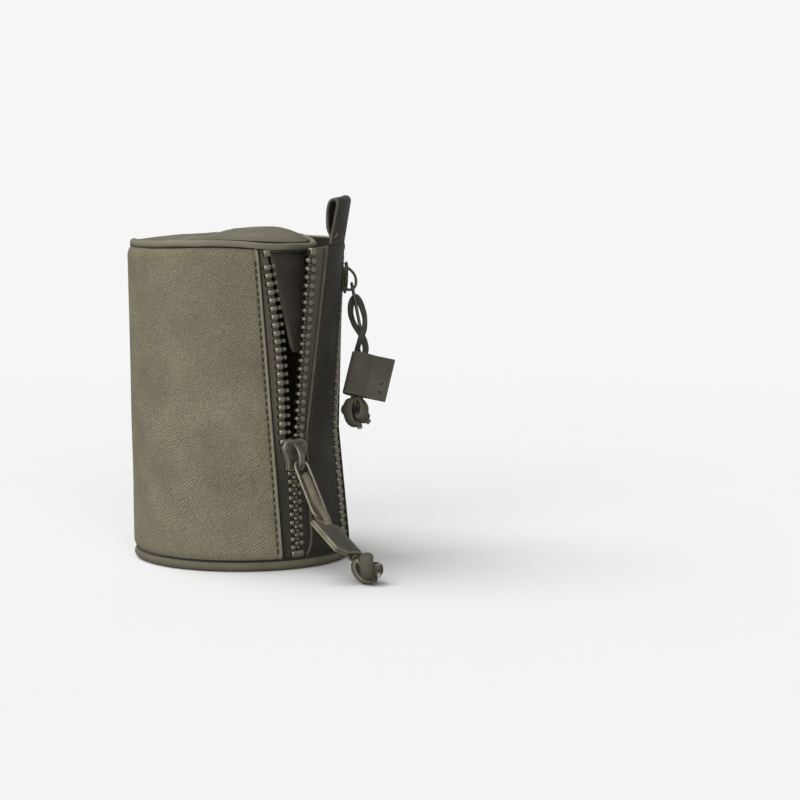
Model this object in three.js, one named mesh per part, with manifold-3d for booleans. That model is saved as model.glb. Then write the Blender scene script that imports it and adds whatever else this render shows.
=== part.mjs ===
// A padded leather pouch for a camera lens, standing on its base with its front zip part open.
// Millimetres, +Z up. The origin is the middle of the flat underside, and -Y is the front.
import * as THREE from 'three';
import { mergeVertices } from 'three/addons/utils/BufferGeometryUtils.js';
import Module from 'manifold-3d';

// Body: a round wall whose slack top is drawn in and leans away from the mouth
const baseRadius = 49.5;
const wallHeight = 145;
const capHalfWidth = 43.5;
const capHalfDepth = 47;
const capShift = -8;
const leatherThickness = 1.4;
const paddingThickness = 3;
const liningThickness = 0.8;
const liningInset = 1.2;
const pipingRadius = 2.2;
const pipingInset = 2.4;
const seatGap = 0.3;

// Base and cap
const baseThickness = 1.6;
const boardThickness = 2;
const feltThickness = 2.4;
const capCrown = 3.4;
const capThickness = 1.6;
const capLiningThickness = 0.8;
const innerTopDrop = 2;
const rearCornerDrop = 4;

// Mouth: the strip between the two zips stands upright and swings back above the front slider
const frontZipAngle = 33.2;
const zipHalfGap = 7.5;
const stripWidth = 22.5;
const stripDrop = 1.5;
const standRadius = 47.3;
const mouthSwing = 15.5;
const sliderSwing = 3;
const capSwing = 0.8;
const standReach = 12;
const drawnReach = 70;
const flapGap = 0.6;

// Zips
const zipTopDrop = 6;
const toothPitch = 3.7;
const leftPhase = 0.25;
const rightPhase = 0.75;
const toothLength = 4.4;
const toothRoot = 1.7;
const toothTip = 1.4;
const toothHeight = 2.9;
const rowOffset = 3.2;
const spineOuter = 0.6;
const spineInner = 0.4;
const spineDepth = 1.5;
const spineThickness = 1.2;
const rowSpread = 2.2;
const rowPull = 6;
const rowBow = 2.4;
const tapeThickness = 0.8;
const tapeSewn = 6;
const stopWidth = 3.6;
const stopLength = 3.4;

// Sliders
const frontSliderHeight = 51.5;
const rearSliderDrop = 12;
const sliderLength = 14.5;
const sliderShoulder = 1;
const spreadRun = 11.2;
const plateThickness = 1.3;
const flangeThickness = 0.8;
const flangeDepth = 0.7;
const slideGap = 0.3;
const innerPlateGap = 1.5;
const postRoot = 0.4;
const postTip = 0.6;
const postLength = 2;
const lugThickness = 2.4;
const lugHeight = 4.6;
const lugLength = 9.6;
const eyeRadius = 1.5;
const eyeRise = 2.2;
const eyeDrop = 2.6;

// Pulls: a wire link on the slider, a doubled lace through it, a folded leather sleeve and a knot
const linkLength = 29;
const linkHalfWidth = 2.6;
const wireDiameter = 1.3;
const laceDiameter = 2.4;
const strandOffset = 1.6;
const sleeveLength = 20;
const sleeveTail = 16.5;
const sleeveFold = 1.4;
const sleeveLeather = 1.2;
const knotRadius = 6.4;
const knotStretch = 1.15;

// Hanging loop and the tongue inside the mouth
const loopWidth = 17.5;
const loopHeight = 23;
const loopGap = 3.2;
const loopLeather = 1.3;
const loopTab = 11;
const loopLean = 3;
const tongueLength = 42;
const tongueTopWidth = 30;
const tongueEndWidth = 11;
const tongueThickness = 1.2;
const tongueStart = 0.5;
const tongueSlant = 8;

// Fineness of the round pieces, and where the wall's upper half has its extra ring of points
const roundSteps = 36;
const wrapSteps = 44;
const wireSteps = 24;
const roundSides = 6;
const mouthSteps = 5;
const upperBend = 0.6;

// Where each pull lies at rest: the end of its link, its knot, and the side that the sleeve's tail is on
const frontLinkAim = new THREE.Vector3(0.36, -0.4, -0.843);
const frontKnotCentre = new THREE.Vector3(57.7, -77.5, 6.7);
const frontTailSide = new THREE.Vector3(-0.56, -0.75, 0.35);
const rearLinkAim = new THREE.Vector3(0.19, -0.24, -0.95);
const rearKnotCentre = new THREE.Vector3(51.7, -17.8, 66.5);
const rearTailSide = new THREE.Vector3(1, -0.1, 0);

// Each lace's route from the knot up one side of the link, over through its eye and back down
const frontLaceRoute = [
  [52.6, -73.7, 11.2],
  [47.0, -67.2, 16.4],
  [41.3, -60.5, 21.7],
  [39.5, -56.5, 26.0],
  [36.5, -53.2, 32.0],
  [34.0, -50.4, 37.9],
  [31.7, -47.7, 42.2],
  [30.0, -45.6, 42.7],
  [29.7, -45.0, 40.0],
  [31.3, -46.7, 35.0],
  [33.8, -49.5, 29.1],
  [37.2, -53.3, 23.5],
  [43.0, -58.2, 20.7],
  [48.7, -64.9, 15.3],
  [54.3, -71.4, 10.2],
];
const rearLaceRoute = [
  [54, -15.2, 73.4],
  [54.9, -11.8, 82.6],
  [56, -8.3, 92.1],
  [56.4, -8.2, 96.2],
  [54.9, -10, 101.3],
  [51.6, -6.8, 105.8],
  [49.7, -3, 110.6],
  [49.9, -1.3, 115.4],
  [51.7, -0.8, 118],
  [53.8, -1.3, 115.8],
  [55.8, -4.2, 110.2],
  [56, -10.6, 105.8],
  [54.4, -13.2, 101],
  [52.8, -8.9, 95.7],
  [53, -7.85, 92.4],
  [52, -11.4, 82.9],
  [51, -14.9, 73.7],
];

const wasm = await Module();
wasm.setup();
const { sin, cos, PI } = Math;
const { lerp, clamp, degToRad, smoothstep } = THREE.MathUtils;
const part = new THREE.Group();

// Materials
function finish(color, roughness, metalness = 0) {
  return new THREE.MeshStandardMaterial({ color, roughness, metalness });
}
const canvasLeather = finish(0x7e7866, 0.75);
const darkLeather = finish(0x57524a, 0.6);
const foam = finish(0x3a3a38, 0.95);
const liningCloth = finish(0x2b2926, 0.9);
const board = finish(0x6b6355, 0.9);
const tapeCloth = finish(0x3b3833, 0.9);
const toothMetal = finish(0x6e6b63, 0.4, 0.6);
const sliderMetal = finish(0x77746c, 0.35, 0.8);
const laceLeather = finish(0x8c8672, 0.65);

// Solids: a closed geometry to and from a body that can be joined and cut
function weld(geometry) {
  const bare = geometry.index ? geometry.toNonIndexed() : geometry.clone();
  bare.deleteAttribute('normal');
  bare.deleteAttribute('uv');
  return mergeVertices(bare, 1e-4);
}

function toSolid(geometry) {
  const welded = weld(geometry);
  return new wasm.Manifold(new wasm.Mesh({
    numProp: 3,
    vertProperties: new Float32Array(welded.attributes.position.array),
    triVerts: new Uint32Array(welded.index.array),
  }));
}

function toGeometry(solid) {
  const mesh = solid.getMesh();
  const geometry = new THREE.BufferGeometry();
  geometry.setAttribute('position', new THREE.BufferAttribute(mesh.vertProperties, mesh.numProp));
  geometry.setIndex(new THREE.BufferAttribute(mesh.triVerts, 1));
  return geometry;
}

function joined(geometries) {
  const solids = geometries.map(toSolid);
  return toGeometry(solids.reduce((whole, solid) => whole.add(solid)));
}

function addPiece(name, geometry, material) {
  const ready = weld(geometry);
  ready.computeVertexNormals();
  const mesh = new THREE.Mesh(ready, material);
  mesh.name = name;
  part.add(mesh);
  return mesh;
}

function faceMesh(points, quads) {
  const geometry = new THREE.BufferGeometry();
  geometry.setFromPoints(points);
  geometry.setIndex(quads.flatMap(([a, b, c, d]) => [a, b, c, a, c, d]));
  return geometry;
}

// A bent panel: place(u, v, w) gives its points, with u from 0 to 1 to the right, v through the given
// values upwards, and w from 0 on the inner face to 1 on the outer one
function bentPanel(place, uSteps, vValues) {
  const points = [];
  const rows = vValues.length;
  for (const w of [0, 1]) {
    for (const v of vValues) {
      for (let i = 0; i <= uSteps; i += 1) points.push(place(i / uSteps, v, w));
    }
  }
  const at = (i, j, w) => w * rows * (uSteps + 1) + j * (uSteps + 1) + i;
  const quads = [];
  for (let j = 0; j < rows - 1; j += 1) {
    for (let i = 0; i < uSteps; i += 1) {
      quads.push([at(i, j, 1), at(i + 1, j, 1), at(i + 1, j + 1, 1), at(i, j + 1, 1)]);
      quads.push([at(i, j, 0), at(i, j + 1, 0), at(i + 1, j + 1, 0), at(i + 1, j, 0)]);
    }
    quads.push([at(0, j, 0), at(0, j, 1), at(0, j + 1, 1), at(0, j + 1, 0)]);
    quads.push([at(uSteps, j, 1), at(uSteps, j, 0), at(uSteps, j + 1, 0), at(uSteps, j + 1, 1)]);
  }
  for (let i = 0; i < uSteps; i += 1) {
    quads.push([at(i, 0, 0), at(i + 1, 0, 0), at(i + 1, 0, 1), at(i, 0, 1)]);
    quads.push([at(i, rows - 1, 1), at(i + 1, rows - 1, 1), at(i + 1, rows - 1, 0), at(i, rows - 1, 0)]);
  }
  return faceMesh(points, quads);
}

// A closed ring tube: place(turn, side) gives its points, each from 0 to 1
function ringTube(place, turns, sides) {
  const points = [];
  const quads = [];
  const at = (i, k) => (i % turns) * sides + (k % sides);
  for (let i = 0; i < turns; i += 1) {
    for (let k = 0; k < sides; k += 1) {
      points.push(place(i / turns, k / sides));
      quads.push([at(i, k), at(i + 1, k), at(i + 1, k + 1), at(i, k + 1)]);
    }
  }
  return faceMesh(points, quads);
}

// A stack of level ovals, closed at both ends: each level is a height and the inset from the outline
function ovalStack(outline, levels, turns) {
  const points = [];
  const quads = [];
  const at = (i, j) => j * turns + (i % turns);
  levels.forEach(([z, inset], j) => {
    for (let i = 0; i < turns; i += 1) {
      points.push(outline(i / turns, inset, z));
      if (j > 0) quads.push([at(i, j - 1), at(i + 1, j - 1), at(i + 1, j), at(i, j)]);
    }
  });
  const geometry = faceMesh(points, quads);
  const index = Array.from(geometry.index.array);
  const top = levels.length - 1;
  for (let i = 1; i < turns - 1; i += 1) {
    index.push(at(0, 0), at(i + 1, 0), at(i, 0));
    index.push(at(0, top), at(i, top), at(i + 1, top));
  }
  geometry.setIndex(index);
  return geometry;
}

// Sections of the wall at its three levels, and the points on them
function section(z, centre, halfWidth, halfDepth, swing) {
  return { z, centre, halfWidth, halfDepth, swing, radius: (halfWidth + halfDepth) / 2 };
}
const sliderTop = frontSliderHeight + sliderLength / 2;
const sliderShare = sliderTop / wallHeight;
const baseSection = section(0, 0, baseRadius, baseRadius, 0);
const capSection = section(wallHeight, capShift, capHalfWidth, capHalfDepth, capSwing);
const mouthSection = section(
  sliderTop,
  capShift * sliderShare,
  lerp(baseRadius, capHalfWidth, sliderShare),
  lerp(baseRadius, capHalfDepth, sliderShare),
  sliderSwing,
);
const standSection = section(wallHeight, 0, standRadius, standRadius, mouthSwing);

function turnAt(level, offset) {
  return degToRad(frontZipAngle + level.swing) + offset / level.radius;
}

function ovalPoint(level, turn, depth) {
  return new THREE.Vector3(
    level.centre + (level.halfWidth - depth) * sin(turn),
    -(level.halfDepth - depth) * cos(turn),
    level.z,
  );
}

// The point at a height on the wall below the front slider's top, or between there and the top section
function between(top, z, pointAt) {
  const [low, high] = z <= sliderTop ? [baseSection, mouthSection] : [mouthSection, top];
  const share = (z - low.z) / (high.z - low.z);
  return pointAt(low).lerp(pointAt(high), share);
}

// The drawn-in wall: offset runs round it from the front zip's middle, towards the strip
function wallPoint(offset, z, depth) {
  return between(capSection, z, (level) => ovalPoint(level, turnAt(level, offset), depth));
}

// The side that stands: the strip, the rear zip and the wrap's rear edge
function standPoint(offset, z, depth) {
  return between(standSection, z, (level) => ovalPoint(level, turnAt(level, offset), depth));
}

// The wrap goes the long way round, from the front zip's left side to the rear zip's far side. Its front edge
// hangs plumb, and the zip leans away from it
const stripFront = zipHalfGap;
const stripRear = stripFront + stripWidth;
const rearZip = stripRear + zipHalfGap;
const wrapRear = rearZip + zipHalfGap;
const wrapBottom = 2 * pipingRadius + 2 * seatGap;

function roundTurn(level, u, inset) {
  const start = degToRad(frontZipAngle) - (zipHalfGap + inset) / level.radius;
  const end = turnAt(level, wrapRear + inset) - 2 * PI;
  return lerp(start, end, u);
}

// Distance round the base from the rear zip's edge
function fromRear(u, inset) {
  const run = 2 * PI * baseRadius - wrapRear - zipHalfGap - 2 * inset;
  return inset + (1 - u) * run;
}

function wrapPoint(u, z, depth, inset) {
  const pointAt = (level) => ovalPoint(level, roundTurn(level, u, inset), depth);
  const drawn = between(capSection, z, pointAt);
  const standing = between(standSection, z, pointAt);
  return drawn.lerp(standing, 1 - smoothstep(fromRear(u, inset), standReach, drawnReach));
}

function addWallLayer(name, depth, thickness, bottom, top, inset, material) {
  const heights = [bottom, sliderTop, lerp(sliderTop, top, upperBend), top];
  addPiece(name, bentPanel((u, height, w) => {
    const upper = Math.max(0, height - sliderTop) / (top - sliderTop);
    const corner = 1 - smoothstep(fromRear(1 - u, inset), 0, drawnReach);
    const z = height - rearCornerDrop * upper * corner;
    return wrapPoint(1 - u, z, depth + (1 - w) * thickness, inset);
  }, wrapSteps, heights), material);
}

const paddingDepth = leatherThickness + seatGap;
const liningDepth = paddingDepth + paddingThickness + seatGap;
const feltTop = baseThickness + boardThickness + feltThickness + 2 * seatGap;
const innerTop = wallHeight - innerTopDrop;
const innerBottom = Math.max(feltTop, wrapBottom) + seatGap;
addWallLayer('wrap_panel', 0, leatherThickness, wrapBottom, wallHeight, 0, canvasLeather);
addWallLayer('wall_padding', paddingDepth, paddingThickness, innerBottom, innerTop, tapeSewn + seatGap, foam);
addWallLayer('wall_lining', liningDepth, liningThickness, innerBottom, innerTop, liningInset, liningCloth);

// Base: a leather disc, a board and a felt pad, with piping sewn round the edge
function baseOutline(turn, inset, z) {
  const point = ovalPoint(baseSection, turn * 2 * PI, inset);
  return point.setZ(z);
}

function capOutline(turn, inset, z) {
  const point = ovalPoint(capSection, turn * 2 * PI, inset);
  return point.setZ(z);
}

function addPiping(name, outline, z, material) {
  addPiece(name, ringTube((turn, side) => {
    const angle = side * 2 * PI;
    return outline(turn, pipingInset - pipingRadius * cos(angle), z + pipingRadius * sin(angle));
  }, roundSteps, roundSides), material);
}

const discInset = pipingInset + pipingRadius + seatGap;
const boardBottom = baseThickness + seatGap;
const feltBottom = boardBottom + boardThickness + seatGap;
function addDisc(name, outline, inset, bottom, thickness, material) {
  const levels = [[bottom, inset], [bottom + thickness, inset]];
  addPiece(name, ovalStack(outline, levels, roundSteps), material);
}

addDisc('base_disc', baseOutline, discInset, 0, baseThickness, canvasLeather);
addDisc('base_board', baseOutline, discInset, boardBottom, boardThickness, board);
addDisc('base_felt', baseOutline, liningDepth, feltBottom, feltThickness, liningCloth);
addPiping('base_piping', baseOutline, pipingRadius + seatGap, canvasLeather);

// Cap: a crowned leather disc over padding and lining, with piping round the edge
const capPipingHeight = wallHeight + seatGap + pipingRadius;
const capLiningBottom = innerTop + seatGap;
const capPaddingBottom = capLiningBottom + capLiningThickness + seatGap;
const crownSteps = [0, 0.3, 0.6, 0.9];
const crownInset = (share) => lerp(discInset, capHalfWidth, share);
const crownRise = (share) => capCrown * (1 - (1 - share) ** 2);
const capEdge = capPipingHeight - capThickness / 2;

const crownTop = crownSteps.map((share) => [capEdge + capThickness + crownRise(share), crownInset(share)]);
const crownUnder = crownSteps.map((share) => [capEdge + crownRise(share), crownInset(share)]);
const crownShell = [...crownUnder].reverse().concat(crownTop);
addPiece('cap_leather', ovalStack(capOutline, crownShell, roundSteps), canvasLeather);
addPiece('cap_padding', ovalStack(capOutline, [
  [capPaddingBottom, discInset],
  ...crownUnder.map(([z, inset]) => [z - seatGap, inset]),
], roundSteps), foam);
addDisc('cap_lining', capOutline, discInset, capLiningBottom, capLiningThickness, liningCloth);
addPiping('cap_piping', capOutline, capPipingHeight, canvasLeather);

// Tongue: hangs from the cap's lining behind the mouth
const tongueTop = capLiningBottom - seatGap;
addPiece('inner_tongue', bentPanel((u, v, w) => {
  const width = lerp(tongueEndWidth, tongueTopWidth, v);
  const start = tongueStart + tongueSlant * (1 - v);
  const z = tongueTop - tongueLength * (1 - v);
  return wallPoint(start + width * u, z, liningDepth + (1 - w) * tongueThickness);
}, 4, [0, 0.5, 1]), darkLeather);

// Strip: its lower part is held by the closed zips, and its upper part is the flap that opens the mouth
const stripTop = wallHeight - stripDrop;
const flapBottom = sliderTop + flapGap;

function addStrip(name, bottom, top) {
  addPiece(name, bentPanel((u, v, w) => {
    const offset = lerp(stripFront, stripRear, u);
    return standPoint(offset, lerp(bottom, top, v), (1 - w) * leatherThickness);
  }, 6, [0, 0.5, 1]), darkLeather);
}
addStrip('strip_lower', wrapBottom, sliderTop);
addStrip('strip_flap', flapBottom, stripTop);

// Middle lines of the zips and lines of their four rows: each gives the point at a height, moved
// sideways by extra and inwards by depth
const zipBottom = wrapBottom + stopLength + 2 * seatGap;
const zipTop = wallHeight - zipTopDrop;
const rearSliderHeight = zipTop - rearSliderDrop;

function spreadAt(z, sliderHeight) {
  const start = sliderHeight + sliderLength / 2 - spreadRun;
  return rowSpread * clamp((z - start) / spreadRun, 0, 1);
}

function frontSpace(z) {
  return rowOffset + spreadAt(z, frontSliderHeight);
}

function rearSpace(z) {
  return rowOffset + spreadAt(z, rearSliderHeight);
}

function mouthShare(z) {
  return Math.max(0, z - sliderTop) / (wallHeight - sliderTop);
}

const frontMiddle = (z, extra, depth) => wallPoint(extra, z, depth);
const rearMiddle = (z, extra, depth) => standPoint(rearZip + extra, z, depth);
const frontLeftLine = (z, extra, depth) => wallPoint(
  extra - frontSpace(z) + rowBow * sin(PI * mouthShare(z)),
  z,
  depth,
);
const frontRightLine = (z, extra, depth) => standPoint(
  extra + frontSpace(z) - rowPull * mouthShare(z),
  z,
  depth,
);
const rearFrontLine = (z, extra, depth) => rearMiddle(z, extra - rearSpace(z), depth);
const rearBackLine = (z, extra, depth) => rearMiddle(z, extra + rearSpace(z), depth);

// Heights at which each zip's lines bend
const mouthBends = Array.from(
  { length: mouthSteps - 1 },
  (_, k) => lerp(sliderTop, wallHeight, (k + 1) / mouthSteps),
);
const frontBends = [sliderTop - spreadRun, sliderTop, ...mouthBends];
const rearSliderTop = rearSliderHeight + sliderLength / 2;
const rearBends = [sliderTop, rearSliderTop - spreadRun, rearSliderTop];

function frameOn(line, z) {
  const along = line(z + 1, 0, 0).sub(line(z - 1, 0, 0)).normalize();
  const sideways = line(z, 1, 0).sub(line(z, -1, 0));
  const outward = new THREE.Vector3().crossVectors(sideways, along).normalize();
  const across = new THREE.Vector3().crossVectors(along, outward).normalize();
  return { origin: line(z, 0, 0), along, across, outward };
}

function heightsOf(bottom, top, bends) {
  return [bottom, ...bends.filter((z) => z > bottom && z < top), top];
}

// A row of teeth on a spine. facing is 1 for teeth that point round towards the rear, and -1 for the others
function toothAt(line, facing, z) {
  const outline = new THREE.Shape([
    new THREE.Vector2(0, -toothRoot / 2),
    new THREE.Vector2(toothLength, -toothTip / 2),
    new THREE.Vector2(toothLength, toothTip / 2),
    new THREE.Vector2(0, toothRoot / 2),
  ]);
  const { origin, along, across, outward } = frameOn(line, z);
  const basis = new THREE.Matrix4().makeBasis(
    across.multiplyScalar(facing),
    along.multiplyScalar(facing),
    outward,
  );
  const slope = across.z * rowOffset / along.z;
  origin.addScaledVector(along, -slope).addScaledVector(outward, -toothHeight);
  basis.setPosition(origin);
  const tooth = new THREE.ExtrudeGeometry(outline, { depth: toothHeight, bevelEnabled: false });
  return tooth.applyMatrix4(basis);
}

function addRow(name, line, facing, bottom, top, phase, bends) {
  const [low, high] = facing > 0 ? [-spineOuter, spineInner] : [-spineInner, spineOuter];
  const pieces = [bentPanel(
    (u, z, w) => line(z, lerp(low, high, u), spineDepth + (1 - w) * spineThickness),
    1,
    heightsOf(bottom, top, bends),
  )];
  const first = Math.ceil((bottom + toothRoot - zipBottom) / toothPitch - phase);
  const last = Math.floor((top - toothRoot - zipBottom) / toothPitch - phase);
  for (let k = first; k <= last; k += 1) {
    pieces.push(toothAt(line, facing, zipBottom + (k + phase) * toothPitch));
  }
  addPiece(name, joined(pieces), toothMetal);
}

// A tape from its row of teeth to the edge that is sewn behind the leather
const tapeDepth = leatherThickness + seatGap;

function addTape(name, line, facing, sewnEdge, bottom, top, bends) {
  addPiece(name, bentPanel((u, z, w) => {
    const depth = tapeDepth + (1 - w) * tapeThickness;
    const free = line(z, -facing * (spineOuter + seatGap), depth);
    const sewn = sewnEdge(z, depth);
    return facing > 0 ? sewn.lerp(free, u) : free.lerp(sewn, u);
  }, 2, heightsOf(bottom, top, bends)), tapeCloth);
}

// A stop crimped over the end of a row, clear of its last tooth
function addStop(name, line, shift, z, width) {
  const { origin, along, across, outward } = frameOn((h, extra, depth) => line(h, extra + shift, depth), z);
  const block = new THREE.BoxGeometry(width, stopLength, toothHeight);
  const basis = new THREE.Matrix4().makeBasis(across, along, outward);
  basis.setPosition(origin.addScaledVector(outward, -toothHeight / 2));
  addPiece(name, block.applyMatrix4(basis), toothMetal);
}

const standEdgeAt = (offset) => (z, depth) => standPoint(offset, z, depth);
const tapeTop = zipTop + stopLength + 2 * seatGap;
const frontWrapSewn = (z, depth) => wrapPoint(0, z, depth, tapeSewn);
const frontStripSewn = standEdgeAt(stripFront + tapeSewn);
const rearStripSewn = standEdgeAt(stripRear - tapeSewn);
const rearWrapSewn = standEdgeAt(wrapRear + tapeSewn);
const rearTapeTop = wallHeight - rearCornerDrop;

addTape('front_zip_tape_left', frontLeftLine, 1, frontWrapSewn, wrapBottom, tapeTop, frontBends);
addTape('front_zip_tape_right', frontRightLine, -1, frontStripSewn, wrapBottom, sliderTop, frontBends);
addTape('flap_zip_tape', frontRightLine, -1, frontStripSewn, flapBottom, tapeTop, frontBends);
addTape('rear_zip_tape_front', rearFrontLine, 1, rearStripSewn, wrapBottom, rearTapeTop, rearBends);
addTape('rear_zip_tape_back', rearBackLine, -1, rearWrapSewn, wrapBottom, rearTapeTop, rearBends);
addRow('front_zip_teeth_left', frontLeftLine, 1, zipBottom, zipTop, leftPhase, frontBends);
addRow('front_zip_teeth_right', frontRightLine, -1, zipBottom, sliderTop, rightPhase, frontBends);
addRow('flap_zip_teeth', frontRightLine, -1, flapBottom, zipTop, rightPhase, frontBends);
addRow('rear_zip_teeth_front', rearFrontLine, 1, zipBottom, zipTop, leftPhase, rearBends);
addRow('rear_zip_teeth_back', rearBackLine, -1, zipBottom, zipTop, rightPhase, rearBends);

const stopHeight = zipTop + 2 * seatGap + stopLength / 2;
const stopShift = stopWidth / 2 - spineOuter;
const bottomStopHeight = zipBottom - seatGap - stopLength / 2;
addStop('front_zip_stop_left', frontLeftLine, stopShift, stopHeight, stopWidth);
addStop('flap_zip_stop', frontRightLine, -stopShift, stopHeight, stopWidth);
addStop('rear_zip_stop_front', rearFrontLine, stopShift, stopHeight, stopWidth);
addStop('rear_zip_stop_back', rearBackLine, -stopShift, stopHeight, stopWidth);
addStop('front_zip_bottom_stop', frontMiddle, 0, bottomStopHeight, 2 * rowOffset);
addStop('rear_zip_bottom_stop', rearMiddle, 0, bottomStopHeight, 2 * rowOffset);

// Slider: two plates joined by a post between the rows, flanges outside the rows, and a lug for the pull
function sliderOutline(inset) {
  const low = rowOffset + spineOuter + slideGap + flangeThickness - inset;
  const high = low + rowSpread;
  const end = sliderLength / 2;
  return [[low, -end], [low, -end / 2], [high, end / 2], [high - sliderShoulder, end]];
}

function mirrored(points) {
  const right = points.map(([x, y]) => new THREE.Vector2(x, y));
  const left = points.map(([x, y]) => new THREE.Vector2(-x, y)).reverse();
  return new THREE.Shape([...right, ...left]);
}

function slab(outline, low, high) {
  const geometry = new THREE.ExtrudeGeometry(outline, { depth: high - low, bevelEnabled: false });
  return geometry.translate(0, 0, low);
}

function flangeSlab(side) {
  const outer = sliderOutline(0).slice(0, 3);
  const inner = sliderOutline(flangeThickness).slice(0, 3).reverse();
  const points = [...outer, ...inner].map(([x, y]) => new THREE.Vector2(side * x, y));
  return slab(new THREE.Shape(side > 0 ? points : points.reverse()), -flangeDepth, slideGap + fuse);
}

const fuse = 0.2;
const plateTop = slideGap + plateThickness;
const eyeHeight = plateTop + eyeRise;

function lugGeometry() {
  const half = lugLength / 2;
  const top = plateTop + lugHeight;
  const outline = new THREE.Shape([
    new THREE.Vector2(-half, plateTop - fuse),
    new THREE.Vector2(half, plateTop - fuse),
    new THREE.Vector2(half / 2, top - lugHeight / 3),
    new THREE.Vector2(0, top),
    new THREE.Vector2(-half * 0.8, top),
    new THREE.Vector2(-half, top - lugHeight / 4),
  ]);
  const eye = new THREE.Path();
  eye.absarc(-eyeDrop, eyeHeight, eyeRadius, 0, 2 * PI, true);
  outline.holes.push(eye);
  const lug = new THREE.ExtrudeGeometry(outline, { depth: lugThickness, bevelEnabled: false, curveSegments: 10 });
  const turn = new THREE.Matrix4().makeBasis(
    new THREE.Vector3(0, 1, 0),
    new THREE.Vector3(0, 0, 1),
    new THREE.Vector3(1, 0, 0),
  );
  return lug.translate(0, 0, -lugThickness / 2).applyMatrix4(turn);
}

function addSlider(name, frame) {
  const innerFace = -toothHeight - innerPlateGap;
  const postOutline = mirrored([
    [postRoot / 2, sliderLength / 2 - postLength],
    [postTip / 2, sliderLength / 2],
  ]);
  const solid = joined([
    slab(mirrored(sliderOutline(0)), slideGap, plateTop),
    flangeSlab(1),
    flangeSlab(-1),
    slab(mirrored(sliderOutline(0)), innerFace - plateThickness, innerFace),
    slab(postOutline, innerFace - fuse, slideGap + fuse),
    lugGeometry(),
  ]);
  const basis = new THREE.Matrix4().makeBasis(frame.across, frame.along, frame.outward);
  addPiece(name, solid.applyMatrix4(basis.setPosition(frame.origin)), sliderMetal);
}

function eyeOf(frame) {
  return frame.origin.clone()
    .addScaledVector(frame.along, -eyeDrop)
    .addScaledVector(frame.outward, eyeHeight);
}

const frontFrame = frameOn(frontMiddle, frontSliderHeight);
const rearFrame = frameOn(rearMiddle, rearSliderHeight);
addSlider('front_slider', frontFrame);
addSlider('rear_slider', rearFrame);

// Pulls
function linkGeometry(eye, aim, across) {
  const down = aim.clone().normalize();
  const sideways = across.clone().addScaledVector(down, -across.dot(down)).normalize();
  const face = new THREE.Vector3().crossVectors(down, sideways);
  const straight = linkLength - wireDiameter - 2 * linkHalfWidth;
  return ringTube((turn, side) => {
    const angle = (turn + 0.5 / wireSteps) * 2 * PI;
    const lower = cos(angle) < 0 ? straight : 0;
    const bend = -side * 2 * PI;
    const reach = linkHalfWidth + wireDiameter / 2 * cos(bend);
    return eye.clone()
      .addScaledVector(sideways, reach * sin(angle))
      .addScaledVector(down, linkHalfWidth + lower - reach * cos(angle))
      .addScaledVector(face, wireDiameter / 2 * sin(bend));
  }, wireSteps, roundSides);
}

function laceGeometry(route) {
  const curve = new THREE.CatmullRomCurve3(route.map((point) => new THREE.Vector3(...point)));
  const outline = new THREE.Shape();
  outline.absarc(0, 0, laceDiameter / 2, 0, 2 * PI);
  return new THREE.ExtrudeGeometry(outline, {
    steps: 26,
    curveSegments: 4,
    extrudePath: curve,
    bevelEnabled: false,
  });
}

// The sleeve is a leather tab folded round both strands, with its two ends glued flat as a tail
function sleeveGeometry(linkEnd, knot, tailSide) {
  const down = knot.clone().sub(linkEnd).normalize();
  const tail = tailSide.clone().addScaledVector(down, -tailSide.dot(down)).normalize();
  const face = new THREE.Vector3().crossVectors(down, tail);
  const hollowWide = strandOffset + laceDiameter / 2 + seatGap;
  const hollowHigh = laceDiameter / 2 + seatGap;
  const wide = hollowWide + sleeveLeather;
  const high = hollowHigh + sleeveLeather;
  const upper = [
    [-wide, high / 2],
    [-hollowWide, high],
    [hollowWide, high],
    [2 * hollowWide, sleeveFold],
    [sleeveTail, sleeveFold],
  ];
  const lower = upper.map(([x, y]) => [x, -y]).reverse();
  const outline = new THREE.Shape([...upper, ...lower].map(([x, y]) => new THREE.Vector2(x, y)));
  const hollow = [[-1, -1], [1, -1], [1, 1], [-1, 1]];
  outline.holes.push(new THREE.Path(hollow.map(([x, y]) => new THREE.Vector2(x * hollowWide, y * hollowHigh))));
  const sleeve = new THREE.ExtrudeGeometry(outline, { depth: sleeveLength, bevelEnabled: false });
  const start = knot.clone().addScaledVector(down, -knotRadius * knotStretch - seatGap - sleeveLength);
  return sleeve.applyMatrix4(new THREE.Matrix4().makeBasis(tail, face, down).setPosition(start));
}

function knotGeometry(linkEnd, knot) {
  const down = knot.clone().sub(linkEnd).normalize();
  const ball = new THREE.SphereGeometry(knotRadius, 12, 8);
  ball.scale(1, knotStretch, 1);
  const turn = new THREE.Quaternion().setFromUnitVectors(new THREE.Vector3(0, 1, 0), down);
  return ball.applyQuaternion(turn).translate(knot.x, knot.y, knot.z);
}

function addPull(name, frame, aim, knot, tailSide, route) {
  const eye = eyeOf(frame);
  const linkEnd = eye.clone().addScaledVector(aim.clone().normalize(), linkLength - wireDiameter);
  addPiece(`${name}_link`, linkGeometry(eye, aim, frame.across), sliderMetal);
  addPiece(`${name}_lace`, laceGeometry(route), laceLeather);
  addPiece(`${name}_sleeve`, sleeveGeometry(linkEnd, knot, tailSide), darkLeather);
  addPiece(`${name}_knot`, knotGeometry(linkEnd, knot), laceLeather);
}
addPull('front_pull', frontFrame, frontLinkAim, frontKnotCentre, frontTailSide, frontLaceRoute);
addPull('rear_pull', rearFrame, rearLinkAim, rearKnotCentre, rearTailSide, rearLaceRoute);

// Hanging loop: the strip's end folded back over itself, and sewn down behind the strip between its tapes
const loopMiddle = (stripFront + stripRear) / 2;
const loopBendSteps = 8;

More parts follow.
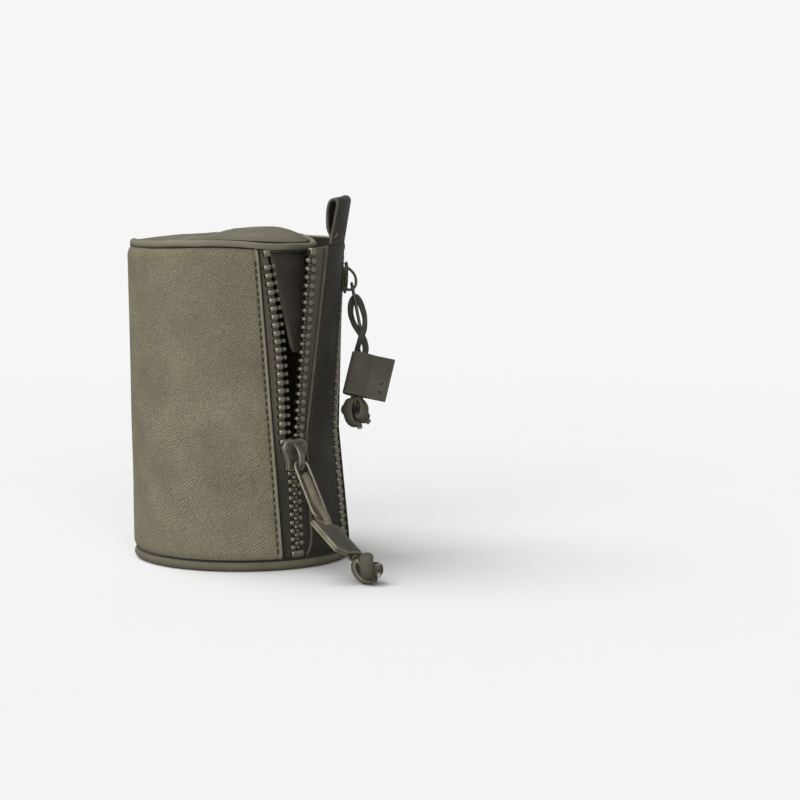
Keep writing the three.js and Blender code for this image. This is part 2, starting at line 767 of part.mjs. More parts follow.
function loopPath() {
  const front = -loopLeather / 2;
  const back = front - loopLeather - loopGap;
  const tab = -(leatherThickness + seatGap + loopLeather / 2);
  const bend = (front - back) / 2;
  const shoulder = loopHeight - bend - loopLeather / 2;
  const turnOver = new THREE.EllipseCurve((front + back) / 2, shoulder, bend, bend, 0, PI);
  const leaves = [
    new THREE.Vector2(front, seatGap),
    ...turnOver.getPoints(loopBendSteps),
    new THREE.Vector2(back, loopGap * 2),
  ];
  const sewn = [new THREE.Vector2(tab, 0), new THREE.Vector2(tab, -loopTab)];
  const tabWidth = stripWidth - 2 * (tapeSewn + seatGap);
  return [
    ...leaves.map((spot) => ({ spot, width: loopWidth })),
    ...sewn.map((spot) => ({ spot, width: tabWidth })),
  ];
}

function loopGeometry() {
  const points = loopPath();
  const place = (u, j, w) => {
    const before = points[Math.max(0, j - 1)].spot;
    const after = points[Math.min(points.length - 1, j + 1)].spot;
    const run = after.clone().sub(before).normalize();
    const outerSide = new THREE.Vector2(run.y, -run.x).multiplyScalar((w - 0.5) * loopLeather);
    const spot = points[j].spot.clone().add(outerSide);
    spot.x += loopLean * Math.max(0, spot.y) / loopHeight;
    return standPoint(loopMiddle + (u - 0.5) * points[j].width, stripTop + spot.y, -spot.x);
  };
  return bentPanel(place, 4, points.map((_, j) => j));
}
addPiece('hang_loop', loopGeometry(), darkLeather);

export default part;
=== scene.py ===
"""Looks of a padded leather lens pouch, built round its frame: leather, zips, corded pulls and studio."""

import logging
import math
from collections.abc import Callable, Sequence
from dataclasses import dataclass
from enum import Enum
from functools import partial

import bmesh
import bpy
from bpy.types import Material, Node, NodeSocket, NodeTree, Object
from mathutils import Matrix, Vector, noise


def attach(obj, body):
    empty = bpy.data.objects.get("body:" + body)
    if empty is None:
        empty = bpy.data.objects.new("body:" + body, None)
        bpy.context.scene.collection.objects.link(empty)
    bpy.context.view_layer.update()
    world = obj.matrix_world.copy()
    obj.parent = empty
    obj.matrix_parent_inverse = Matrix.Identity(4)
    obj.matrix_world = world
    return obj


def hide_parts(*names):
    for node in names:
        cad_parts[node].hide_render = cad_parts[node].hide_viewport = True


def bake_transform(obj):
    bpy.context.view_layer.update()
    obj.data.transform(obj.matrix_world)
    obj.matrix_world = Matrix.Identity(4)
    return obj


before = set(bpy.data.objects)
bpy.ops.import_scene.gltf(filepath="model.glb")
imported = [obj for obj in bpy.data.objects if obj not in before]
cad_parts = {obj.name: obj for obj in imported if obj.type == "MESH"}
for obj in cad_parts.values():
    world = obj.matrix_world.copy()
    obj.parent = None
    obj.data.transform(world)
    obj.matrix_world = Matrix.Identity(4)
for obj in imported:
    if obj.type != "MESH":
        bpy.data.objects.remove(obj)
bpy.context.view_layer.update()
LOG = logging.getLogger("lens_pouch")
MM = 0.001

Rgb = tuple[int, int, int]
Colour = tuple[float, float, float]
Offset = tuple[float, float, float]
Flat = tuple[float, float]
Mixable = float | Vector
Spot = Callable[[float, float], Flat]
Place = Callable[[float, float, float], Vector]
Rim = Callable[[float], Vector]
Value = float | NodeSocket
Paint = Colour | NodeSocket
Painted = tuple[NodeSocket, NodeSocket, NodeSocket]


class Body(Enum):
    """The bodies that pieces ride on."""

    POUCH = "pouch"
    FLAP = "mouth_flap"
    FRONT_SLIDER = "front_slider"
    FRONT_PULL = "front_pull"
    REAR_SLIDER = "rear_slider"
    REAR_PULL = "rear_pull"


class Slot(Enum):
    """The material slots, one of which each piece is given."""

    CANVAS = "canvas_leather"
    DARK = "dark_leather"
    FOAM = "foam"
    LINING = "lining_cloth"
    CARD = "base_card"
    TAPE = "zip_tape"
    TOOTH = "tooth_metal"
    SLIDER = "slider_metal"
    LACE = "lace_leather"


def clamp(value: float, low: float = 0.0, high: float = 1.0) -> float:
    """Returns the value held between two limits."""
    return max(low, min(high, value))


def lerp(a: float, b: float, share: float) -> float:
    """Returns the value that lies a share of the way from a to b."""
    return a + (b - a) * share


def ease(value: float, low: float, high: float) -> float:
    """Returns 0 below low, 1 above high, and a smooth step between them."""
    share = clamp((value - low) / (high - low))
    return share * share * (3 - 2 * share)


def tone(red: int, green: int, blue: int) -> Colour:
    """Turns an 8-bit display colour into a linear one.

    Args:
        red: Its red, from 0 to 255.
        green: Its green.
        blue: Its blue.

    Returns:
        The linear colour.
    """
    def linear(value: int) -> float:
        """Returns one channel's linear value."""
        share = value / 255
        return share / 12.92 if share <= 0.04045 else ((share + 0.055) / 1.055) ** 2.4
    return linear(red), linear(green), linear(blue)


def through(a: Mixable, b: Mixable, c: Mixable, d: Mixable, t: float) -> Mixable:
    """Returns the value a share of the way from b to c, on a smooth curve through all four."""
    square, cube = 2 * a - 5 * b + 4 * c - d, 3 * b - a - 3 * c + d
    return 0.5 * (2 * b + (c - a) * t + square * t * t + cube * t ** 3)


def smooth_path(points: Sequence[Vector], steps: int, loop: bool = False) -> list[Vector]:
    """Runs a smooth curve through points.

    Args:
        points: The points that the curve passes through.
        steps: How many steps each span is cut into.
        loop: Whether the curve closes on itself.

    Returns:
        The points of the finer curve.
    """
    count = len(points)
    spans = count if loop else count - 1

    def at(i: int) -> Vector:
        """Returns a point by its number, wrapped round or held at the ends."""
        return points[i % count] if loop else points[int(clamp(i, 0, count - 1))]
    fine = []
    for i in range(spans):
        near = at(i - 1), at(i), at(i + 1), at(i + 2)
        fine += [through(*near, k / steps) for k in range(steps)]
    if not loop:
        fine.append(points[-1].copy())
    return fine


class MeshMaker:
    """Gathers points and faces, and makes one mesh object of them."""

    def __init__(self) -> None:
        """Starts with nothing."""
        self.points: list[Vector] = []
        self.lays: list[Offset] = []
        self.faces: list[list[int]] = []
        self.slots: list[int] = []

    def add_point(self, point: Vector, along: float = 0.0, up: float = 0.0) -> int:
        """Adds a point.

        Args:
            point: The point.
            along: Its place along the flat cut.
            up: Its place up the flat cut.

        Returns:
            Its number.
        """
        self.points.append(point)
        self.lays.append((along, up, 0.0))
        return len(self.points) - 1

    def add_face(self, corners: list[int], slot: int = 0) -> None:
        """Adds a face that takes one of the finishes."""
        self.faces.append(corners)
        self.slots.append(slot)

    def mark(self, rule: Callable[[list[Offset]], int | None]) -> None:
        """Gives some faces another finish.

        Args:
            rule: Takes the places of a face's corners on the flat cut, and gives a finish or None.
        """
        for number, corners in enumerate(self.faces):
            slot = rule([self.lays[c] for c in corners])
            if slot is not None:
                self.slots[number] = slot

    def add_rings(self, rings: Sequence[Sequence[Vector]], slot: int = 0, loop: bool = False,
                  end_slot: int | None = None) -> None:
        """Skins closed rings of points in order, with closed ends unless the rings loop.

        Args:
            rings: The rings, each with as many points.
            slot: The finish of the skin.
            loop: Whether the last ring joins the first.
            end_slot: The finish of the two ends, where it differs.
        """
        sides = len(rings[0])
        numbers = []
        run = 0.0
        before = None
        for ring in rings:
            middle = sum(ring, Vector()) / sides
            run += (middle - before).length if before else 0.0
            before = middle
            girth = sum((ring[k] - ring[k - 1]).length for k in range(sides))
            numbers.append([self.add_point(p, k / sides * girth, run) for k, p in enumerate(ring)])
        pairs = list(zip(numbers, numbers[1:]))
        if loop:
            pairs.append((numbers[-1], numbers[0]))
        for low, high in pairs:
            for k in range(sides):
                n = (k + 1) % sides
                self.add_face([low[k], low[n], high[n], high[k]], slot)
        if loop:
            return
        for ring, row in ((rings[0], numbers[0]), (rings[-1], numbers[-1])):
            hub = self.add_point(sum(ring, Vector()) / sides)
            for k in range(sides):
                self.add_face([row[k], row[(k + 1) % sides], hub], slot if end_slot is None else end_slot)

    def add_tube(self, path: Sequence[Vector], radius: float | Sequence[float], sides: int = 8,
                 slot: int = 0, loop: bool = False, end_slot: int | None = None, flat: float = 1.0,
                 facing: Callable[[Vector], Vector] | None = None) -> None:
        """Sweeps a round or flattened section along a path.

        Args:
            path: The middle line.
            radius: One radius, or one for each point.
            sides: How many sides the section has.
            slot: The finish of the skin.
            loop: Whether the path closes on itself.
            end_slot: The finish of the ends.
            flat: The section's height as a share of its width.
            facing: The way that a flattened section's broad side turns to at a point, where that matters.
        """
        hold = 6
        count = len(path)
        radii = [radius] * count if isinstance(radius, float) else radius
        normal = None
        rings = []
        for i, point in enumerate(path):
            after = path[(i + 1) % count] if loop else path[min(count - 1, i + 1)]
            before = path[(i - 1) % count] if loop else path[max(0, i - 1)]
            run = (after - before).normalized()
            if normal is None:
                normal = run.orthogonal()
            if facing is not None:
                turned = run.cross(facing(point).normalized())
                normal = turned if loop else normal + hold * math.copysign(1.0, turned.dot(normal)) * turned
            normal = (normal - run * normal.dot(run)).normalized()
            side = run.cross(normal)
            ring = []
            for k in range(sides):
                angle = 2 * math.pi * k / sides
                ring.append(point + radii[i] * (normal * math.cos(angle) + side * math.sin(angle) * flat))
            rings.append(ring)
        self.add_rings(rings, slot, loop, end_slot)

    def add_panel(self, spot: Spot, place: Place, steps: tuple[int, int], thickness: float,
                  slots: tuple[int, int, int] = (0, 1, 0), edge_steps: int = 3) -> None:
        """Adds a sheet of leather or cloth with rounded cut edges.

        Args:
            spot: Gives the place on the flat cut for two shares from 0 to 1.
            place: Gives the point for a place on the flat cut and a depth below the outer face.
            steps: How many steps the panel has each way.
            thickness: How thick the sheet is.
            slots: The finishes of the outer face, the edge and the inner face.
            edge_steps: How many rows of points round the edge has.
        """
        across, upward = steps
        border = [(i, 0) for i in range(across)] + [(across, j) for j in range(upward)]
        border += [(i, upward) for i in range(across, 0, -1)] + [(0, j) for j in range(upward, 0, -1)]
        tiny = 1e-3

        def flat(i: int, j: int) -> Vector:
            """Returns a grid point's place on the flat cut."""
            return Vector(spot(i / across, j / upward))

        def away(i: int, j: int) -> Vector:
            """Returns the way out of the panel at a grid point on its border."""
            s, t = i / across, j / upward
            here = Vector(spot(s, t))
            push = Vector((0.0, 0.0))
            if i in (0, across):
                push += (here - Vector(spot(s + (tiny if i == 0 else -tiny), t))).normalized()
            if j in (0, upward):
                push += (here - Vector(spot(s, t + (tiny if j == 0 else -tiny)))).normalized()
            return push

        def grid(depth: float, slot: int) -> dict[tuple[int, int], int]:
            """Adds one face of the panel at a depth, and returns its points' numbers."""
            numbers = {}
            for j in range(upward + 1):
                for i in range(across + 1):
                    a, z = flat(i, j)
                    numbers[i, j] = self.add_point(place(a, z, depth), a, z)
            for j in range(upward):
                for i in range(across):
                    corners = [(i, j), (i + 1, j), (i + 1, j + 1), (i, j + 1)]
                    self.add_face([numbers[c] for c in corners], slot)
            return numbers

        outer = grid(0.0, slots[0])
        inner = grid(thickness, slots[2])
        rows = [[outer[c] for c in border]]
        half = thickness / 2
        for k in range(1, edge_steps + 1):
            angle = math.pi * k / (edge_steps + 1)
            row = []
            for c in border:
                a, z = flat(*c) + away(*c) * half * math.sin(angle)
                row.append(self.add_point(place(a, z, half * (1 - math.cos(angle))), a, z))
            rows.append(row)
        rows.append([inner[c] for c in border])
        for low, high in zip(rows, rows[1:]):
            for k in range(len(border)):
                n = (k + 1) % len(border)
                self.add_face([low[k], low[n], high[n], high[k]], slots[1])

    def make(self, name: str, *finishes: Material) -> Object:
        """Makes the object.

        Args:
            name: The piece's name.
            finishes: The finishes, in the order of their slot numbers.

        Returns:
            The new object, with its faces pointing out.
        """
        mesh = bpy.data.meshes.new(name)
        mesh.from_pydata([tuple(p) for p in self.points], [], self.faces)
        for finish in finishes:
            mesh.materials.append(finish)
        mesh.polygons.foreach_set("material_index", [min(s, len(finishes) - 1) for s in self.slots])
        mesh.polygons.foreach_set("use_smooth", [True] * len(self.faces))
        lay = mesh.attributes.new("lay", "FLOAT_VECTOR", "POINT")
        lay.data.foreach_set("vector", [v for spot in self.lays for v in spot])
        shape = bmesh.new()
        shape.from_mesh(mesh)
        bmesh.ops.recalc_face_normals(shape, faces=shape.faces)
        shape.to_mesh(mesh)
        shape.free()
        piece = bpy.data.objects.new(name, mesh)
        bpy.context.scene.collection.objects.link(piece)
        return piece


def settle(piece: Object, slot: Slot, body: Body | None, *nodes: str) -> Object:
    """Seats a finished piece on its body in place of its solids.

    Args:
        piece: The piece.
        slot: Not used.
        body: The body that it rides on, or None for a piece that stands between two, which is left
            unattached.
        nodes: The solids that it stands for.

    Returns:
        The piece.
    """
    if nodes:
        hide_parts(*nodes)
    if body is not None:
        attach(piece, body.value)
    LOG.info("%s: %d points", piece.name, len(piece.data.vertices))
    return piece


class NodeSheet:
    """Adds nodes to one node tree and links them."""

    def __init__(self, tree: NodeTree) -> None:
        """Takes the tree to fill."""
        self.tree = tree

    def add(self, kind: str, inputs: dict | None = None, **settings: object) -> Node:
        """Adds a node.

        Args:
            kind: The node's type.
            inputs: Values or sockets for its inputs, by name or number.
            settings: The node's own settings.

        Returns:
            The node.
        """
        node = self.tree.nodes.new(kind)
        for key, value in settings.items():
            setattr(node, key, value)
        for key, value in (inputs or {}).items():
            if isinstance(value, NodeSocket):
                self.tree.links.new(value, node.inputs[key])
            else:
                node.inputs[key].default_value = value
        return node

    def math(self, operation: str, a: Value, b: Value = 0.0) -> NodeSocket:
        """Adds a sum of two values and returns its result."""
        return self.add("ShaderNodeMath", {0: a, 1: b}, operation=operation).outputs[0]

    def span(self, value: Value, low: float, high: float, to_low: float = 0.0,
             to_high: float = 1.0) -> NodeSocket:
        """Stretches a value from one span to another, held at both ends, and returns it."""
        inputs = {0: value, 1: low, 2: high, 3: to_low, 4: to_high}
        return self.add("ShaderNodeMapRange", inputs, clamp=True).outputs[0]

    def weigh(self, a: Value, a_share: float, b: Value, b_share: float) -> NodeSocket:
        """Adds two values, each times its own share, and returns the sum."""
        return self.math("ADD", self.math("MULTIPLY", a, a_share), self.math("MULTIPLY", b, b_share))

    def mix(self, share: Value, a: Paint, b: Paint) -> NodeSocket:
        """Mixes two colours.

        Args:
            share: How much of the second shows, as a value or a socket.
            a: The first colour, or its socket.
            b: The second colour, or its socket.

        Returns:
            The mixed colour.
        """
        def colour(value: Paint) -> tuple[float, ...] | NodeSocket:
            """Returns a plain colour with its alpha, and a socket as it is."""
            return (*value, 1.0) if isinstance(value, tuple) else value
        node = self.add("ShaderNodeMix", {0: share, 6: colour(a), 7: colour(b)}, data_type="RGBA")
        return node.outputs[2]

    def noise(self, scale: Value, detail: float = 3.0) -> NodeSocket:
        """Adds a noise over the piece.

        Args:
            scale: How many of its lumps there are to a metre, as a value or a socket.
            detail: How fine it gets.

        Returns:
            Its value.
        """
        place = self.add("ShaderNodeTexCoord").outputs["Object"]
        inputs = {"Scale": scale, "Detail": detail, "Vector": place}
        return self.add("ShaderNodeTexNoise", inputs).outputs["Fac"]

    def lay(self) -> tuple[NodeSocket, NodeSocket]:
        """Adds the places on the piece's flat cut.

        Returns:
            The places along and up the cut, in metres.
        """
        place = self.add("ShaderNodeAttribute", attribute_name="lay").outputs["Vector"]
        parts = self.add("ShaderNodeSeparateXYZ", {0: place})
        return parts.outputs[0], parts.outputs[1]


class Effects:
    """The surface effects that several finishes share, each one a node group made once."""

    def __init__(self) -> None:
        """Makes every group."""
        relief = ("Height", "Tone")
        self.grain = self.make("leather_grain", {"Scale": 900.0}, relief, self.fill_grain)
        self.twill = self.make("twill_ribs", {"Pitch": 1.3 * MM, "Slant": 0.5}, relief, self.fill_twill)
        self.weave = self.make("tape_weave", {"Pitch": 0.9 * MM}, relief, self.fill_weave)
        self.wear = self.make("metal_wear", {"Scale": 700.0}, ("Bright", "Rough"), self.fill_wear)

    def make(self, name: str, inputs: dict[str, float], outputs: Sequence[str],
             fill: Callable[[NodeSheet, Node], Sequence[NodeSocket]]) -> NodeTree:
        """Makes a group.

        Args:
            name: The group's name.
            inputs: Its inputs with their usual values.
            outputs: The names of what it puts out.
            fill: Adds the nodes, and returns a socket for each output.

        Returns:
            The group.
        """
        tree = bpy.data.node_groups.new(name, "ShaderNodeTree")
        for key, value in inputs.items():
            socket = tree.interface.new_socket(key, in_out="INPUT", socket_type="NodeSocketFloat")
            socket.default_value = value
        for key in outputs:
            tree.interface.new_socket(key, in_out="OUTPUT", socket_type="NodeSocketFloat")
        sheet = NodeSheet(tree)
        results = fill(sheet, sheet.add("NodeGroupInput"))
        end = sheet.add("NodeGroupOutput")
        for key, socket in zip(outputs, results):
            tree.links.new(socket, end.inputs[key])
        return tree

    def fill_grain(self, sheet: NodeSheet, given: Node) -> Sequence[NodeSocket]:
        """Fills the grain of leather: small pebbles between creases, over broad drifts of tone.

        Args:
            sheet: The group's node sheet.
            given: The group's inputs.

        Returns:
            The height and the tone.
        """
        scale = given.outputs["Scale"]
        place = sheet.add("ShaderNodeTexCoord").outputs["Object"]
        pebbles = sheet.add("ShaderNodeTexVoronoi", {"Vector": place, "Scale": scale},
                            feature="DISTANCE_TO_EDGE")
        crease = sheet.span(pebbles.outputs["Distance"], 0.0, 0.25)
        fine = sheet.noise(sheet.math("MULTIPLY", scale, 2.3))
        broad = sheet.noise(sheet.math("MULTIPLY", scale, 0.05), 5.0)
        return sheet.weigh(crease, 0.6, fine, 0.5), broad

    def fill_twill(self, sheet: NodeSheet, given: Node) -> Sequence[NodeSocket]:
        """Fills the twill: slanted uneven ribs, which are worn smooth in patches.

        Args:
            sheet: The group's node sheet.
            given: The group's inputs.

        Returns:
            The height and the tone.
        """
        along, up = sheet.lay()
        slant = given.outputs["Slant"]
        sine, cosine = sheet.math("SINE", slant), sheet.math("COSINE", slant)
        level, aside = sheet.math("MULTIPLY", up, cosine), sheet.math("MULTIPLY", along, sine)
        across = sheet.math("SUBTRACT", level, aside)
        slow, quick = sheet.noise(90.0), sheet.noise(700.0, 2.0)
        drift = sheet.weigh(slow, 1.4, quick, 1.1)
        turns = sheet.math("ADD", sheet.math("DIVIDE", across, given.outputs["Pitch"]), drift)
        rib = sheet.math("SINE", sheet.math("MULTIPLY", turns, 2 * math.pi))
        patch = sheet.span(sheet.noise(38.0), 0.36, 0.6, 0.25, 1.0)
        broken = sheet.span(sheet.noise(900.0, 2.0), 0.35, 0.65, 0.5, 1.1)
        raised = sheet.math("MULTIPLY", sheet.math("MULTIPLY", rib, patch), broken)
        fibre = sheet.noise(1300.0, 4.0)
        speck = sheet.span(fibre, 0.38, 0.62)
        tone_of = sheet.span(sheet.math("ADD", raised, speck), -0.8, 1.6)
        return sheet.weigh(raised, 0.5, fibre, 0.7), tone_of

    def fill_weave(self, sheet: NodeSheet, given: Node) -> Sequence[NodeSocket]:
        """Fills the zip tape's weave: narrow columns whose threads slant by turns.

        Args:
            sheet: The group's node sheet.
            given: The group's inputs.

        Returns:
            The height and the tone.
        """
        along, up = sheet.lay()
        pitch = given.outputs["Pitch"]
        column = sheet.math("PINGPONG", along, sheet.math("MULTIPLY", pitch, 1.5))
        turns = sheet.math("DIVIDE", sheet.math("ADD", up, column), pitch)
        thread = sheet.math("SINE", sheet.math("MULTIPLY", turns, 2 * math.pi))
        fuzz = sheet.noise(3000.0, 2.0)
        return sheet.weigh(thread, 0.5, fuzz, 0.6), sheet.span(thread, -1.0, 1.0)

    def fill_wear(self, sheet: NodeSheet, given: Node) -> Sequence[NodeSocket]:
        """Fills the wear of plated metal: bright rubbed corners and dull drifts.

        Args:
            sheet: The group's node sheet.
            given: The group's inputs.

        Returns:
            The masks of the bright corners and of the dull drifts.
        """
        point = sheet.add("ShaderNodeNewGeometry").outputs["Pointiness"]
        drift = sheet.noise(given.outputs["Scale"], 4.0)
        corner = sheet.span(sheet.math("ADD", point, sheet.math("MULTIPLY", drift, 0.05)), 0.53, 0.6)
        return corner, sheet.span(drift, 0.3, 0.7)


@dataclass(frozen=True)
class Finish:
    """What every finish has: two colours that it drifts between, its shine and its relief."""

    name: str
    colour: Colour
    shade: Colour
    roughness: float
    depth: float = 0.25 * MM
    strength: float = 0.6
    gloss: float = 0.25
    sheen: float = 0.0
    metallic: float = 0.0

    def make(self, effects: Effects) -> Material:
        """Makes the material.

        Args:
            effects: The shared effects.

        Returns:
            The material.
        """
        material = bpy.data.materials.new(self.name)
        material.use_nodes = True
        material.diffuse_color = (*self.colour, 1.0)
        sheet = NodeSheet(material.node_tree)
        shader = material.node_tree.nodes["Principled BSDF"]
        colour, rough, height = self.paint(sheet, effects)
        relief = {"Height": height, "Strength": self.strength, "Distance": self.depth}
        bump = sheet.add("ShaderNodeBump", relief).outputs[0]
        for key, socket in (("Base Color", colour), ("Roughness", rough), ("Normal", bump)):
            sheet.tree.links.new(socket, shader.inputs[key])
        shader.inputs["Roughness"].default_value = self.roughness
        shader.inputs["Specular IOR Level"].default_value = self.gloss
        shader.inputs["Sheen Weight"].default_value = self.sheen
        shader.inputs["Metallic"].default_value = self.metallic
        return material

    def paint(self, sheet: NodeSheet, effects: Effects) -> Painted:
        """Adds the nodes of the finish's own look, which each kind of finish does its own way."""
        raise NotImplementedError

    def place(self, sheet: NodeSheet, group: NodeTree, **values: float) -> Node:
        """Places a shared effect with its own values and returns its node."""
        return sheet.add("ShaderNodeGroup", values, node_tree=group)


@dataclass(frozen=True)
class LeatherFinish(Finish):
    """Leather with a pebbled grain, and with printed twill ribs where it has a pitch."""

    grain: float = 1100.0
    twill: float = 0.0
    slant: float = math.radians(32)
    rib_shade: float = 0.45

    def paint(self, sheet: NodeSheet, effects: Effects) -> Painted:
        """Adds the grain and the ribs.

        Args:
            sheet: The material's node sheet.
            effects: The shared effects.

        Returns:
            The colour, the roughness and the height.
        """
        grain = self.place(sheet, effects.grain, Scale=self.grain)
        drift = sheet.span(grain.outputs["Tone"], 0.3, 0.7)
        colour = sheet.mix(drift, self.shade, self.colour)
        height = grain.outputs["Height"]
        if self.twill:
            twill = self.place(sheet, effects.twill, Pitch=self.twill, Slant=self.slant)
            dark = sheet.span(twill.outputs["Tone"], 0.0, 0.85, 0.95, 0.0)
            colour = sheet.mix(dark, colour, tuple(self.rib_shade * c for c in self.shade))
            height = twill.outputs["Height"]
        rough = sheet.span(grain.outputs["Tone"], 0.2, 0.8, self.roughness + 0.08, self.roughness - 0.08)
        return colour, rough, height


@dataclass(frozen=True)
class ClothFinish(Finish):
    """Woven cloth or thread: zip tape, lining and stitching."""

    depth: float = 0.2 * MM
    strength: float = 0.7
    sheen: float = 0.2
    pitch: float = 0.9 * MM
    blotches: float = 220.0
    soiled: tuple[float, float] | None = None
    low_shade_share: float = 0.4

    def paint(self, sheet: NodeSheet, effects: Effects) -> Painted:
        """Adds the weave, and painted shade below the height where it has one.

        Args:
            sheet: The material's node sheet.
            effects: The shared effects.

        Returns:
            The colour, the roughness and the height.
        """
        weave = self.place(sheet, effects.weave, Pitch=self.pitch)
        drift = sheet.noise(self.blotches, 4.0)
        share = sheet.weigh(weave.outputs["Tone"], 0.6, drift, 0.4)
        colour = sheet.mix(share, self.shade, self.colour)
        # Darkens the tape towards the bottom, between the given heights, as painted shade where it lies
        # recessed between the leathers
        if self.soiled:
            unshaded = sheet.span(sheet.lay()[1], *self.soiled)
            colour = sheet.mix(unshaded, tuple(self.low_shade_share * c for c in self.shade), colour)
        rough = sheet.span(drift, 0.2, 0.8, self.roughness + 0.05, self.roughness - 0.1)
        return colour, rough, weave.outputs["Height"]


@dataclass(frozen=True)
class MetalFinish(Finish):
    """Dull plated metal with rubbed bright corners."""

    depth: float = 0.08 * MM
    strength: float = 0.35
    gloss: float = 0.5
    metallic: float = 0.85
    bright: Colour = tone(150, 145, 129)
    wear: float = 420.0

    def paint(self, sheet: NodeSheet, effects: Effects) -> Painted:
        """Adds the wear.

        Args:
            sheet: The material's node sheet.
            effects: The shared effects.

        Returns:
            The colour, the roughness and the height.
        """
        wear = self.place(sheet, effects.wear, Scale=self.wear)
        dull = wear.outputs["Rough"]
        body = sheet.mix(dull, self.shade, self.colour)
        colour = sheet.mix(wear.outputs["Bright"], body, self.bright)
        rough = sheet.span(dull, 0.0, 1.0, self.roughness + 0.12, self.roughness - 0.06)
        return colour, rough, dull


class Palette:
    """Every finish on the pouch."""

    def __init__(self) -> None:
        """Makes the materials."""
        effects = Effects()

        def made(kind: type[Finish], name: str, colour: Rgb, shade: Rgb, roughness: float,
                 **more: object) -> Material:
            """Makes a finish's material, from the two display colours that it drifts between."""
            return kind(name, tone(*colour), tone(*shade), roughness, **more).make(effects)
        leather, cloth, metal = (partial(made, kind) for kind in (LeatherFinish, ClothFinish, MetalFinish))
        self.canvas = leather("twill_leather", (152, 146, 121), (131, 125, 103), 0.8,
                              depth=0.3 * MM, twill=1.2 * MM, gloss=0.2)
        # A lighter copy of the lid's smooth leather for the lid's piping, as painted light on its rounded
        # roll
        self.piping = leather("piping_leather", (136, 131, 111), (120, 115, 96), 0.62, grain=1300.0)
        self.smooth = leather("smooth_leather", (116, 111, 91), (102, 97, 80), 0.6, grain=1300.0)
        # The leather's back, also laid on the wrap's rear edge as painted shade
        self.flesh_and_edge_shade = leather("leather_back", (74, 69, 58), (60, 56, 47), 0.9, grain=1500.0)
        self.cut_edge = leather("leather_turned_edge", (158, 152, 131), (136, 130, 109), 0.7,
                                grain=2600.0, depth=0.12 * MM)
        self.dark = leather("strip_leather", (60, 56, 49), (49, 45, 40), 0.55,
                            grain=1500.0, depth=0.12 * MM, gloss=0.16)
        self.dark_edge = leather("strip_edge", (104, 99, 86), (84, 79, 68), 0.7,
                                 grain=2400.0, depth=0.1 * MM)
        self.lace = leather("lace_leather", (124, 118, 99), (92, 87, 72), 0.55,
                            grain=1900.0, depth=0.18 * MM, gloss=0.35)
        # A darker copy of the lace leather for the knot, as painted shade among its crossing strands
        self.knot = leather("knot_leather", (104, 99, 83), (70, 66, 55), 0.55,
                            grain=1100.0, depth=0.3 * MM, gloss=0.3)
        # Darker copies of the knot and lace leather for the rear pull, as painted shade
        self.rear_knot = leather("rear_knot_leather", (86, 82, 69), (54, 51, 43), 0.5,
                                 grain=1100.0, depth=0.3 * MM, gloss=0.3)
        self.rear_lace = leather("rear_lace_leather", (72, 68, 59), (54, 51, 44), 0.55,
                                 grain=1900.0, depth=0.18 * MM, gloss=0.3)
        self.tab = leather("tab_leather", (82, 78, 66), (62, 59, 50), 0.55,
                           grain=1500.0, depth=0.14 * MM, gloss=0.3)
        self.tab_edge = leather("tab_cut_edge", (150, 144, 124), (112, 106, 90), 0.75,
                                grain=2400.0, depth=0.1 * MM)
        self.lace_end = leather("lace_cut_end", (206, 200, 182), (178, 171, 150), 0.85,
                                grain=2600.0, depth=0.1 * MM)
        # The front tape is darkened towards the bottom as painted shade
        self.tape = cloth("zip_tape_weave", (114, 108, 92), (95, 90, 77), 0.85, soiled=(40 * MM, 68 * MM))
        # A darker copy of the tape for the rear zip, as painted shade on the pouch's shaded side
        self.rear_tape = cloth("rear_tape_weave", (62, 58, 51), (48, 45, 39), 0.9)
        self.lining = cloth("lining_weave", (118, 107, 91), (98, 88, 74), 0.92, pitch=1.4 * MM)
        self.tongue = leather("tongue_leather", (84, 79, 74), (68, 64, 59), 0.6,
                              grain=1500.0, depth=0.12 * MM, gloss=0.2)
        self.thread = cloth("thread", (168, 161, 138), (128, 121, 101), 0.75, pitch=0.5 * MM)
        self.dark_thread = cloth("dark_thread", (64, 59, 50), (46, 43, 37), 0.8, pitch=0.5 * MM)
        # A near-black cloth for welts, holes and the knot's core, all painted shade
        self.seam = cloth("seam_thread", (30, 27, 23), (20, 18, 16), 0.95, pitch=0.5 * MM)
        # A dark leather for the line in the crease inside the lid's piping, as painted shade
        self.crease = leather("crease_leather", (58, 54, 45), (46, 43, 36), 0.9, grain=1500.0)
        self.felt = cloth("base_felt_cloth", (48, 46, 42), (34, 32, 30), 0.95, pitch=2.2 * MM)
        self.foam = leather("foam_cells", (62, 61, 58), (48, 47, 45), 0.95, grain=1900.0)
        self.card = leather("base_board_card", (112, 103, 86), (96, 88, 73), 0.9, grain=2200.0)
        self.tooth = metal("tooth_gunmetal", (72, 68, 60), (50, 47, 41), 0.34, bright=tone(132, 127, 113))
        self.slider = metal("slider_gunmetal", (94, 89, 79), (74, 70, 62), 0.46, metallic=0.7)
        # A darker copy of the metal for the rear slider and pull, as painted shade
        self.shaded_rear_metal = metal("rear_gunmetal", (56, 53, 47), (40, 38, 34), 0.45, bright=tone(92, 88, 78))
        self.wire = metal("link_wire", (140, 134, 117), (108, 103, 89), 0.34)


@dataclass(frozen=True)
class Level:
    """One level section of the wall, an oval."""

    z: float
    centre: float
    half_width: float
    half_depth: float
    swing: float

    def turn(self, zip_angle: float, offset: float) -> float:
        """Returns the turn round the oval at an offset from the front zip's middle."""
        return zip_angle + self.swing + offset * 2 / (self.half_width + self.half_depth)

    def point(self, turn: float, depth: float) -> Vector:
        """Returns the point at a turn and a depth below the surface."""
        return Vector((
            self.centre + (self.half_width - depth) * math.sin(turn),
            -(self.half_depth - depth) * math.cos(turn),
            self.z,
        ))


